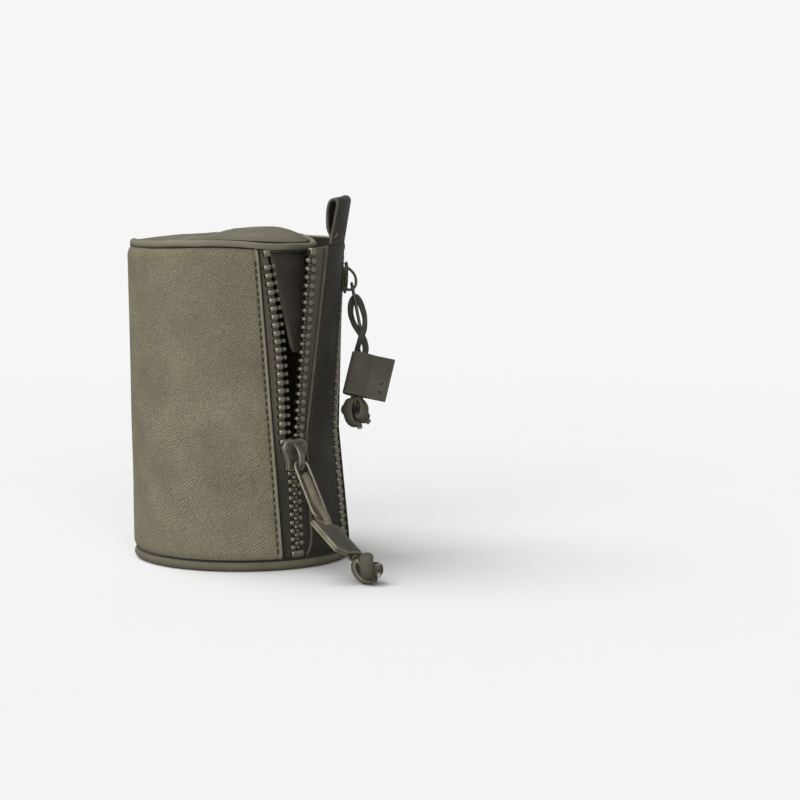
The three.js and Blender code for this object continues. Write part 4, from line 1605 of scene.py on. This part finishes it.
    def build_tapes(self) -> None:
        """Builds the four zip tapes, each with the bead that its teeth are clamped on."""
        front_edge = FORM.strip_front + FORM.tape_sewn
        rear_edge = FORM.strip_rear - FORM.tape_sewn
        back_edge = FORM.wrap_rear + FORM.tape_sewn
        rear_top = FORM.wall_height - FORM.rear_corner_drop
        tapes = (
            ("front_tape_left", self.front_left, 1, lambda z, d: FORM.front_sewn(z, FORM.tape_sewn, d),
             self.tape_top, ("front_zip_tape_left",)),
            ("front_tape_right", self.front_right, -1, lambda z, d: FORM.stand_point(front_edge, z, d),
             self.tape_top, ("front_zip_tape_right", "flap_zip_tape")),
            ("rear_tape_front", self.rear_front, 1, lambda z, d: FORM.stand_point(rear_edge, z, d),
             rear_top, ("rear_zip_tape_front",)),
            ("rear_tape_back", self.rear_back, -1, lambda z, d: FORM.stand_point(back_edge, z, d),
             rear_top, ("rear_zip_tape_back",)),
        )
        trim, bead_trim, steps = 0.4 * MM, 1 * MM, 130
        for name, line, facing, sewn, top, nodes in tapes:
            def spot(s: float, t: float, top: float = top) -> Flat:
                """Returns a place on the tape's cut."""
                return lerp(0.0, self.tape_width, s), lerp(FORM.wrap_bottom + trim, top - trim, t)

            def place(a: float, z: float, d: float, line: Place = line, facing: int = facing,
                      sewn: Callable[[float, float], Vector] = sewn) -> Vector:
                """Returns a point in the tape, between the edge that is sewn and the free one."""
                free = line(z, facing * self.tape_reach, self.tape_depth + d)
                share = a / self.tape_width if facing > 0 else 1 - a / self.tape_width
                return sewn(z, self.tape_depth + d).lerp(free, share)
            maker = MeshMaker()
            maker.add_panel(spot, place, (14, steps), self.tape, (0, 0, 0))
            low, high = FORM.wrap_bottom + bead_trim, top - bead_trim
            bead = [line(lerp(low, high, k / steps), 0.0, self.tape_depth + self.tape / 2)
                    for k in range(steps + 1)]
            maker.add_tube(bead, self.bead)
            # The rear tapes take the darker copy of the tape as painted shade
            finish = self.palette.rear_tape if "rear" in name else self.palette.tape
            self.seat(maker.make(name, finish), Slot.TAPE, nodes)

    def tooth_rings(self, grip: Grip, facing: int, closed: bool) -> list[list[Vector]]:
        """Returns the rings of one tooth: a clamp on the bead, a neck and a nub.

        Args:
            grip: Where the tooth stands.
            facing: Which way the tooth points across the zip.
            closed: Whether the tooth is meshed, so that the tape hides its clamp's heel.

        Returns:
            The rings, from the heel to the tip.
        """
        slope = grip.across.z * facing * self.row_offset / grip.along.z
        middle = -self.tooth_height / 2
        stations = (
            (-1.6, 0.8, 0.75), (-1.4, 1.25, 1.2), (0.2, 1.42, 1.44), (1.5, 1.36, 1.42), (1.85, 1.0, 1.2),
            (2.15, 0.8, 1.0), (2.5, 0.84, 1.04), (3.2, 1.02, 1.3), (3.9, 0.94, 1.2), (4.35, 0.56, 0.8),
        )
        if closed:
            stations = ((-0.3, 0.7, 0.75), (-0.1, 1.0, 1.2), (0.5, 1.2, 1.42)) + stations[3:]
        corners = soft_square(0.6)
        return [[grip.point(facing * x * MM, c * half * MM - slope, middle + s * thick * MM)
                 for c, s in corners] for x, half, thick in stations]

    def build_rows(self) -> None:
        """Builds the four rows of teeth."""
        rows = (
            ("front_teeth_left", self.front_left, 1, 0.25, self.front_slider, ("front_zip_teeth_left",)),
            ("front_teeth_right", self.front_right, -1, 0.75, self.front_slider,
             ("front_zip_teeth_right", "flap_zip_teeth")),
            ("rear_teeth_front", self.rear_front, 1, 0.25, self.rear_slider, ("rear_zip_teeth_front",)),
            ("rear_teeth_back", self.rear_back, -1, 0.75, self.rear_slider, ("rear_zip_teeth_back",)),
        )
        for name, line, facing, phase, slider, nodes in rows:
            maker = MeshMaker()
            count = int((self.top - self.bottom) / self.pitch - phase)
            for k in range(count + 1):
                z = self.bottom + (k + phase) * self.pitch
                maker.add_rings(self.tooth_rings(grip_on(line, z), facing, z < slider))
            self.seat(maker.make(name, self.palette.tooth), Slot.TOOTH, nodes)

    def build_stops(self) -> None:
        """Builds the stops that are crimped over the ends of the rows."""
        shift = self.stop_width / 2 - 0.6 * MM
        high = self.top + 2 * FORM.seat_gap + self.stop_length / 2
        low = self.bottom - FORM.seat_gap - self.stop_length / 2
        one, both = self.stop_width, 2 * self.row_offset
        stops = (
            ("front_stop_left", self.front_left, shift, high, one, Body.POUCH, "front_zip_stop_left"),
            ("front_stop_right", self.front_right, -shift, high, one, Body.FLAP, "flap_zip_stop"),
            ("rear_stop_front", self.rear_front, shift, high, one, Body.POUCH, "rear_zip_stop_front"),
            ("rear_stop_back", self.rear_back, -shift, high, one, Body.POUCH, "rear_zip_stop_back"),
            ("front_stop_low", self.front_middle, 0.0, low, both, Body.POUCH, "front_zip_bottom_stop"),
            ("rear_stop_low", self.rear_middle, 0.0, low, both, Body.POUCH, "rear_zip_bottom_stop"),
        )
        half, thick = self.stop_length / 2, self.tooth_height / 2
        ends = ((-1.0, 0.55), (-0.93, 0.85), (-0.7, 1.0), (0.7, 1.0), (0.93, 0.85), (1.0, 0.55))
        corners = soft_square(0.5)
        for name, line, move, z, width, body, node in stops:
            grip = grip_on(line, z)
            rings = [[grip.point(move + x * width / 2, c * half * size, s * thick * size - thick)
                      for c, s in corners] for x, size in ends]
            settle(skinned(name, self.palette.tooth, rings), Slot.TOOTH, body, node)

    def slider_outline(self) -> list[Flat]:
        """Draws the outline of a slider's plate: narrow below, with round shoulders above.

        Returns:
            Its points, across and along the zip.
        """
        low, high, end = 4.6 * MM, 6.5 * MM, self.slider_length / 2
        right = [(0.55 * low, -end), (0.9 * low, -0.93 * end), (low, -0.75 * end), (1.02 * low, -0.4 * end),
                 (0.88 * high, 0.05 * end), (high, 0.42 * end), (0.97 * high, 0.68 * end),
                 (0.78 * high, 0.9 * end), (0.45 * high, 0.99 * end)]
        points = right + [(0.0, 0.96 * end)] + [(-x, y) for x, y in reversed(right)] + [(0.0, -end)]
        fine = smooth_path([Vector((x, y, 0.0)) for x, y in points], 3, loop=True)
        return [(p.x, p.y) for p in fine]

    def build_slider(self, name: str, grip: Grip, body: Body, finish: Material) -> None:
        """Builds a slider: domed plates, flanges, a post and the arched lug that holds its pull.

        Args:
            name: The slider's node.
            grip: Its place on the zip.
            body: The body that it rides on.
            finish: Its metal.
        """
        outline = self.slider_outline()
        plate, gap = 1.3 * MM, 0.3 * MM
        flange, post, lug = 0.55 * MM, 0.3 * MM, 0.62
        top, inner = gap + plate, -self.tooth_height - 1.5 * MM

        def plate_ring(size: float, n: float) -> list[Vector]:
            """Returns a ring of a plate, at a share of its outline and a height."""
            return [grip.point(x * size, y * size, n) for x, y in outline]
        maker = MeshMaker()
        maker.add_rings([plate_ring(s, n) for s, n in (
            (0.3, gap), (0.93, gap), (0.99, gap + 0.2 * MM), (1.0, gap + 0.5 * MM), (0.98, top - 0.3 * MM),
            (0.92, top), (0.8, top + 0.22 * MM), (0.55, top + 0.4 * MM), (0.25, top + 0.5 * MM))])
        maker.add_rings([plate_ring(s, n) for s, n in (
            (0.3, inner), (0.93, inner), (1.0, inner - 0.35 * MM), (0.98, inner - plate + 0.3 * MM),
            (0.9, inner - plate), (0.4, inner - plate))])
        for side in (-1, 1):
            path = [grip.point(side * x * MM, y * MM, -0.1 * MM)
                    for x, y in ((4.15, -6.4), (4.2, -3), (5.9, 2.6), (6.0, 4.4))]
            maker.add_tube(smooth_path(path, 5), flange)
        depths = (inner, inner / 2, gap + 0.4 * MM)
        maker.add_tube([grip.point(0.0, self.slider_length / 2 - 1.1 * MM, n) for n in depths], post)
        arch = ((4.6, -0.2), (3.6, 1.3), (1.6, 3.2), (-1.0, 4.1), (-3.6, 3.9), (-5.2, 2.6), (-5.5, 0.9),
                (-5.2, -0.3))
        middle = smooth_path([grip.point(0.0, y * MM, top + n * MM) for y, n in arch], 5)
        rings = []
        for i, point in enumerate(middle):
            run = (middle[min(i + 1, len(middle) - 1)] - middle[max(i - 1, 0)]).normalized()
            face = grip.across.cross(run).normalized()
            width = lerp(1.1, 1.45, math.sin(math.pi * i / (len(middle) - 1))) * MM
            rings.append([point + grip.across * c * width + face * s * lug * MM
                          for c, s in soft_square(0.65)])
        maker.add_rings(rings)
        settle(maker.make(f"{name}_body", finish), Slot.SLIDER, body, name)


@dataclass(frozen=True)
class Pull:
    """A slider's pull: a wire link, a doubled lace, a folded leather sleeve and a knot."""

    palette: Palette
    name: str
    body: Body
    grip: Grip
    aim: Vector
    knot: Vector
    tail_side: Vector
    route: tuple[Offset, ...]
    lace_length: float
    lace_finish: Material
    shaded_knot_finish: Material
    edge_finish: Material
    wire_finish: Material
    link_length: float = 29 * MM
    link_half_width: float = 3.5 * MM
    wire: float = 1.3 * MM
    lace: float = 2.4 * MM
    sleeve_length: float = 20 * MM
    sleeve_tail: float = 16.5 * MM
    sleeve_leather: float = 1.2 * MM
    hole_inset: float = 3.2 * MM
    knot_radius: float = 6.4 * MM
    knot_stretch: float = 1.15
    tab_tilt: float = 0.0
    tab_shift: Offset = (0.0, 0.0, 0.0)
    knot_shift: Offset = (0.0, 0.0, 0.0)
    knot_lean: float = 0.0
    knot_strand: float = 2.8 * MM

    @property
    def eye(self) -> Vector:
        """The middle of the lug's eye."""
        return self.grip.point(0.0, -2.6 * MM, 3.8 * MM)

    @property
    def link_end(self) -> Vector:
        """The lower end of the link."""
        return self.eye + self.aim.normalized() * (self.link_length - self.wire)

    @property
    def down(self) -> Vector:
        """The way that the lace runs below the link."""
        return (self.knot - self.link_end).normalized()

    def build(self) -> None:
        """Builds the pull."""
        self.build_link()
        lace = self.build_lace()
        sleeve = self.build_sleeve()
        knot = self.build_knot()
        tuple(self.link_end)
        [tuple(p) for p in self.lace_path()]

    def build_link(self) -> None:
        """Builds the wire link."""
        down = self.aim.normalized()
        sideways = (self.grip.across - down * self.grip.across.dot(down)).normalized()
        straight = self.link_length - self.wire - 2 * self.link_half_width
        path = []
        steps = 48
        for k in range(steps):
            angle = (k + 0.5) / steps * 2 * math.pi
            lower = straight if math.cos(angle) < 0 else 0.0
            path.append(self.eye + sideways * self.link_half_width * math.sin(angle)
                        + down * (self.link_half_width + lower - self.link_half_width * math.cos(angle)))
        link = swept(f"{self.name}_wire_link", self.wire_finish, path, self.wire / 2, sides=12, loop=True)
        settle(link, Slot.SLIDER, self.body, f"{self.name}_link")

    def lace_path(self) -> list[Vector]:
        """Returns the lace's middle line, through its route's points in millimetres."""
        return smooth_path([Vector([v * MM for v in p]) for p in self.route], 8)

    def build_lace(self) -> Object:
        """Builds the doubled lace.

        Returns:
            The lace.
        """
        path = self.lace_path()
        radii = [self.lace / 2 * (1.42 + 0.1 * noise.noise(p * 300)) for p in path]
        piece = swept(f"{self.name}_cord", self.lace_finish, path, radii, sides=12, flat=0.6,
                      facing=lambda _: self.grip.outward + Vector((0.0, -1.0, 0.0)))
        return settle(piece, Slot.LACE, self.body, f"{self.name}_lace")

    def build_sleeve(self) -> Object:
        """Builds the leather tab that is folded round both strands.

        Returns:
            The tab.
        """
        down = self.down
        tail = (self.tail_side - down * self.tail_side.dot(down)).normalized()
        face = down.cross(tail)
        start = self.knot - down * (self.knot_radius * self.knot_stretch + FORM.seat_gap + self.sleeve_length)
        middle = start + down * self.sleeve_length / 2 + Vector(self.tab_shift)
        tilt = Matrix.Rotation(self.tab_tilt, 3, face)
        down, tail = tilt @ down, tilt @ tail
        start = middle - down * self.sleeve_length / 2
        half = self.sleeve_leather / 2
        end = (self.sleeve_tail - half) / MM
        upper = [(end, 0.62), (11.0, 0.62), (7.0, 0.68), (4.9, 1.35), (2.8, 2.05), (0.0, 2.2), (-2.4, 1.85),
                 (-3.6, 0.8)]
        lower = [(x, -y) for x, y in reversed(upper)]
        fold = Fold([(x * MM, y * MM) for x, y in upper + lower], 5)

        def place(a: float, z: float, d: float) -> Vector:
            """Returns a point in the tab, whose two ends lie together."""
            over = abs(a - clamp(a, 0.0, fold.length))
            spot = fold.point(a, half - d) + Vector((1.0, 0.0, 0.0)) * over
            return start + tail * spot.x + face * spot.y + down * z

        def flat(s: float, t: float) -> Flat:
            """Returns a place on the tab's cut."""
            return lerp(0.0, fold.length, s), lerp(half, self.sleeve_length - half, t)
        maker = MeshMaker()
        maker.add_panel(flat, place, (60, 16), self.sleeve_leather)
        # Each hole is a short dark tube, as painted shade inside the hole
        for share in (0.62, 0.82):
            middle = start + tail * (self.sleeve_tail - self.hole_inset) + down * self.sleeve_length * share
            for side in (-1, 1):
                hole = [middle + face * side * n * MM for n in (1.05, 1.24, 1.3)]
                maker.add_tube(hole, [0.62 * MM, 0.6 * MM, 0.4 * MM], sides=10, slot=2)
        piece = maker.make(f"{self.name}_tab", self.palette.tab, self.edge_finish, self.palette.seam)
        return settle(piece, Slot.DARK, self.body, f"{self.name}_sleeve")

    def build_knot(self) -> Object:
        """Builds the overhand knot with its two cut tails.

        Returns:
            The knot.
        """
        down = Matrix.Rotation(self.knot_lean, 3, "Y") @ self.down
        side = down.orthogonal().normalized()
        other = down.cross(side)
        wide, swell, tall = 3.1 * MM, 1.8 * MM, 4.7 * MM
        sides, clearance = 16, 0.2 * MM

        def knot_point(turn: float) -> Vector:
            """Returns a point on the strand, which crosses itself three times."""
            reach = wide + swell * math.cos(3 * turn)
            around = (side * math.cos(2 * turn) + other * math.sin(2 * turn)) * reach
            return self.knot + around + down * tall * math.sin(3 * turn)
        maker = MeshMaker()
        maker.add_tube(ring_of(knot_point, 120), self.knot_strand, sides=sides, loop=True, flat=0.56,
                       facing=lambda p: p - self.knot)
        # The faces on the strand's two narrow sides are its cut edges, given the lighter edge finish as
        # painted highlight along the flat lace's edges
        for number in range(len(maker.faces)):
            if (number + 1) % (sides // 2) < 2:
                maker.slots[number] = 2
        # A dark core fills the knot's middle, as painted shade in the gap between the strands
        core = [self.knot + down * s * MM for s in (-5.0, -2.6, 0.0, 2.6, 5.0)]
        maker.add_tube(core, [r * MM for r in (1.8, 3.5, 4.0, 3.5, 1.8)], sides=16, slot=3)
        reach = self.knot_radius * self.knot_stretch
        for lean in (-1, 1):
            tail = [self.knot + down * reach * s + side * lean * w * MM + other * lean * 0.6 * w * MM
                    for s, w in ((0.35, 1.0), (0.75, 1.5), (1.05, 2.2))]
            maker.add_tube(smooth_path(tail, 5), self.lace / 2, sides=12, end_slot=1)
        for point in maker.points:
            point += Vector(self.knot_shift)
            point.z = max(point.z, clearance)
        piece = maker.make(f"{self.name}_overhand", self.shaded_knot_finish, self.palette.lace_end, self.edge_finish,
                           self.palette.seam)
        return settle(piece, Slot.LACE, self.body, f"{self.name}_knot")


@dataclass(frozen=True)
class HangLoop:
    """The strip's end, folded into a hanging loop and sewn down."""

    palette: Palette
    width: float = 19.5 * MM
    height: float = 21.2 * MM
    gap: float = 3.2 * MM
    leather: float = 1.3 * MM
    tab: float = 11 * MM
    tab_width: float = 9.9 * MM
    lean: float = 2 * MM
    shift: float = 0.6 * MM
    stitch: Flat = (-6.4, 4.6)

    def build(self) -> None:
        """Builds the loop and the stitch that shows on it."""
        half = self.leather / 2
        front = -half
        back = front - self.leather - self.gap
        tab = -(FORM.leather + FORM.seat_gap + half)
        bend = (front - back) / 2
        shoulder = self.height - bend - half
        turns = [math.pi * k / 12 for k in range(13)]
        arc = [((front + back) / 2 + bend * math.cos(t), shoulder + bend * math.sin(t)) for t in turns]
        rise = [(front, -0.3 * MM), (front, 0.35 * shoulder), (front, 0.7 * shoulder)]
        fall = [(back, 0.84 * shoulder), (back + 0.7 * MM, 0.62 * shoulder),
                (back + 1.8 * MM, 0.38 * shoulder), (tab - 0.2 * MM, 3.2 * MM), (tab, -0.5 * MM),
                (tab, -self.tab / 2), (tab, -self.tab + half)]
        fold = Fold(rise + arc + fall, 4)
        middle = (FORM.strip_front + FORM.strip_rear) / 2 + self.shift

        def place(a: float, run: float, d: float) -> Vector:
            """Returns a point in the loop, which leans outward as it rises."""
            spot = fold.point(run, half - d)
            lean = self.lean * max(0.0, spot.y) / self.height
            return FORM.stand_point(middle + a, FORM.strip_top + spot.y, -spot.x - lean)

        def flat(s: float, t: float) -> Flat:
            """Returns a place on the loop's cut, which narrows to a tab."""
            run = lerp(half, fold.length - half, t)
            narrow = ease(run, fold.length - self.tab - 8 * MM, fold.length - self.tab)
            width = lerp(self.width, self.tab_width, narrow) - self.leather
            return (s - 0.5) * width, run

        def joined(corners: list[Offset]) -> int | None:
            """Returns the face's finish for the lower edge, where the strip ends."""
            return 0 if max(c[1] for c in corners) < self.leather else None
        maker = MeshMaker()
        maker.add_panel(flat, place, (16, 90), self.leather)
        maker.mark(joined)
        loop = maker.make("loop", self.palette.dark, self.palette.dark_edge)
        settle(loop, Slot.DARK, Body.FLAP, "hang_loop")
        across, up = self.stitch
        thread = [place((across + w) * MM, (up + 1.1 * w) * MM, d * MM)
                  for w, d in ((-0.9, 0.3), (-0.5, -0.12), (0.5, -0.12), (0.9, 0.3))]
        settle(swept("loop_stitches", self.palette.thread, thread, 0.3 * MM, sides=6), Slot.DARK, Body.FLAP)


FRONT_ROUTE = (
    (52.6, -73.7, 11.2), (47.0, -67.2, 16.4), (41.3, -60.5, 21.7), (39.5, -56.5, 26.0),
    (35.4, -54.0, 32.0), (32.7, -51.3, 37.9), (30.7, -48.4, 42.2), (29.5, -46.0, 42.9),
    (29.7, -45.0, 40.0), (31.3, -46.7, 35.0), (33.8, -49.5, 29.1), (37.2, -53.3, 23.5),
    (43.0, -58.2, 20.7), (48.7, -64.9, 15.3), (54.3, -71.4, 10.2),
)
REAR_ROUTE = (
    (54.0, -15.2, 73.4), (54.9, -11.8, 82.6), (56.0, -8.3, 92.1), (56.4, -8.2, 96.2),
    (54.9, -10.0, 101.3), (51.6, -6.8, 105.8), (49.7, -3.0, 110.6), (49.9, -1.3, 115.4),
    (51.7, -0.8, 118.0), (53.8, -1.3, 115.8), (55.8, -4.2, 110.2), (56.0, -10.6, 105.8),
    (54.4, -13.2, 101.0), (52.8, -8.9, 95.7), (53.0, -7.85, 92.4), (52.0, -11.4, 82.9),
    (51.0, -14.9, 73.7),
)


@dataclass(frozen=True)
class Studio:
    """The camera, the lights, the pale floor and the background."""

    aim: Offset = (72 * MM, 0.0, 71 * MM)
    distance: float = 1.6
    elevation: float = math.radians(7.3)
    view_angle: float = math.radians(13.0)
    background: Colour = tone(246, 246, 246)
    ambient_left: float = 0.45
    ambient_right: float = 0.16
    floor_tone: float = 0.6
    floor_seen: float = 0.95
    floor_clear: float = 0.3
    floor_edge: float = 0.75

    def build(self) -> None:
        """Builds the studio."""
        bpy.context.scene.view_settings.view_transform = "Standard"
        self.build_camera()
        self.build_world()
        self.build_floor()
        self.add_sun("key", azimuth=-104.0, height=62.0, spread=46.0, strength=1.6)
        self.add_sun("fill", azimuth=-11.0, height=24.0, spread=60.0, strength=1.5)

    def build_camera(self) -> None:
        """Builds the camera at the photograph's viewing angle."""
        data = bpy.data.cameras.new("camera")
        data.sensor_width = 36.0
        data.lens = data.sensor_width / 2 / math.tan(self.view_angle / 2)
        camera = bpy.data.objects.new("camera", data)
        aim = Vector(self.aim)
        back = Vector((0.0, -math.cos(self.elevation), math.sin(self.elevation)))
        camera.location = aim + self.distance * back
        camera.rotation_euler = (aim - camera.location).to_track_quat("-Z", "Y").to_euler()
        bpy.context.scene.collection.objects.link(camera)
        bpy.context.scene.camera = camera

    def build_world(self) -> None:
        """Builds the even light of the studio, behind a pale background."""
        world = bpy.data.worlds.new("studio")
        world.use_nodes = True
        bpy.context.scene.world = world
        sheet = NodeSheet(world.node_tree)
        ray = sheet.add("ShaderNodeLightPath")
        seen = sheet.math("MAXIMUM", ray.outputs["Is Camera Ray"], ray.outputs["Is Transmission Ray"])
        backdrop = sheet.add("ShaderNodeBackground", {"Color": (*self.background, 1.0), "Strength": 1.0})
        way = sheet.add("ShaderNodeSeparateXYZ", {0: sheet.add("ShaderNodeTexCoord").outputs["Generated"]})
        level = sheet.span(way.outputs["X"], -0.7, 0.7, self.ambient_left, self.ambient_right)
        light = sheet.add("ShaderNodeBackground", {"Color": (1.0, 1.0, 1.0, 1.0), "Strength": level})
        glossy = sheet.math("MAXIMUM", seen, sheet.math("MULTIPLY", ray.outputs["Is Glossy Ray"], 0.5))
        mixed = sheet.add("ShaderNodeMixShader", {0: glossy, 1: light.outputs[0], 2: backdrop.outputs[0]})
        output = next(n for n in world.node_tree.nodes if n.type == "OUTPUT_WORLD")
        world.node_tree.links.new(mixed.outputs[0], output.inputs["Surface"])

    def build_floor(self) -> None:
        """Builds the pale floor, which fades into the background away from the pouch."""
        maker = MeshMaker()
        reach = self.floor_edge + 0.1
        square = ((-1, -1), (1, -1), (1, 1), (-1, 1))
        maker.add_face([maker.add_point(Vector((x * reach, y * reach, 0.0))) for x, y in square])
        material = bpy.data.materials.new("pale_floor")
        material.use_nodes = True
        sheet = NodeSheet(material.node_tree)
        material.node_tree.nodes.remove(material.node_tree.nodes["Principled BSDF"])
        ray = sheet.add("ShaderNodeLightPath")
        level = sheet.span(ray.outputs["Is Camera Ray"], 0.0, 1.0, self.floor_tone, self.floor_seen)
        shader = sheet.add("ShaderNodeBsdfDiffuse", {"Color": level})
        place = sheet.add("ShaderNodeTexCoord").outputs["Object"]
        far = sheet.add("ShaderNodeVectorMath", {0: place}, operation="LENGTH").outputs["Value"]
        clear = sheet.add("ShaderNodeBsdfTransparent")
        fade = sheet.span(far, self.floor_clear, self.floor_edge)
        mixed = sheet.add("ShaderNodeMixShader", {0: fade, 1: shader.outputs[0], 2: clear.outputs[0]})
        output = next(n for n in material.node_tree.nodes if n.type == "OUTPUT_MATERIAL")
        material.node_tree.links.new(mixed.outputs[0], output.inputs["Surface"])
        maker.make("floor", material)

    def add_sun(self, name: str, azimuth: float, height: float, spread: float, strength: float) -> None:
        """Adds a broad distant lamp, as even as a large soft box.

        Args:
            name: The lamp's name.
            azimuth: Where it stands, in degrees to the right of the viewer.
            height: How high it stands, in degrees.
            spread: How wide it is, in degrees.
            strength: Its strength in watts a square metre.
        """
        data = bpy.data.lights.new(name, "SUN")
        data.angle = math.radians(spread)
        data.energy = strength
        lamp = bpy.data.objects.new(name, data)
        turn, rise = math.radians(azimuth), math.radians(height)
        ray = Vector((-math.sin(turn) * math.cos(rise), math.cos(turn) * math.cos(rise), -math.sin(rise)))
        lamp.rotation_euler = ray.to_track_quat("-Z", "Y").to_euler()
        bpy.context.scene.collection.objects.link(lamp)


def main() -> None:
    """Builds the studio, the pouch and its pulls."""
    logging.basicConfig(level=logging.INFO, format="%(message)s")
    Studio().build()
    palette = Palette()
    zips = Zips(palette)
    Pull(palette, "front_pull", Body.FRONT_PULL, zips.front_grip, aim=Vector((0.36, -0.4, -0.843)),
         knot=Vector((57.7, -77.5, 6.7)) * MM, tail_side=Vector((-0.56, -0.75, 0.35)), route=FRONT_ROUTE,
         lace_length=0.101, lace_finish=palette.lace, shaded_knot_finish=palette.knot,
         edge_finish=palette.tab_edge, wire_finish=palette.wire).build()
    # The rear pull takes the darker lace, knot and metal as painted shade
    Pull(palette, "rear_pull", Body.REAR_PULL, zips.rear_grip, aim=Vector((0.19, -0.24, -0.95)),
         knot=Vector((51.7, -17.8, 66.5)) * MM, tail_side=Vector((1.0, -0.1, 0.0)), route=REAR_ROUTE,
         lace_length=0.105, lace_finish=palette.rear_lace, shaded_knot_finish=palette.rear_knot,
         edge_finish=palette.dark_edge, wire_finish=palette.shaded_rear_metal,
         tab_tilt=math.radians(-7), tab_shift=(-1.2 * MM, 0.0, 1.4 * MM), sleeve_tail=15.6 * MM,
         knot_lean=math.radians(-42), knot_shift=(0.3 * MM, 0.0, 1.5 * MM), knot_strand=2.6 * MM).build()
    Shell(palette).build()
    zips.build()
    HangLoop(palette).build()


if __name__ == "__main__":
    main()
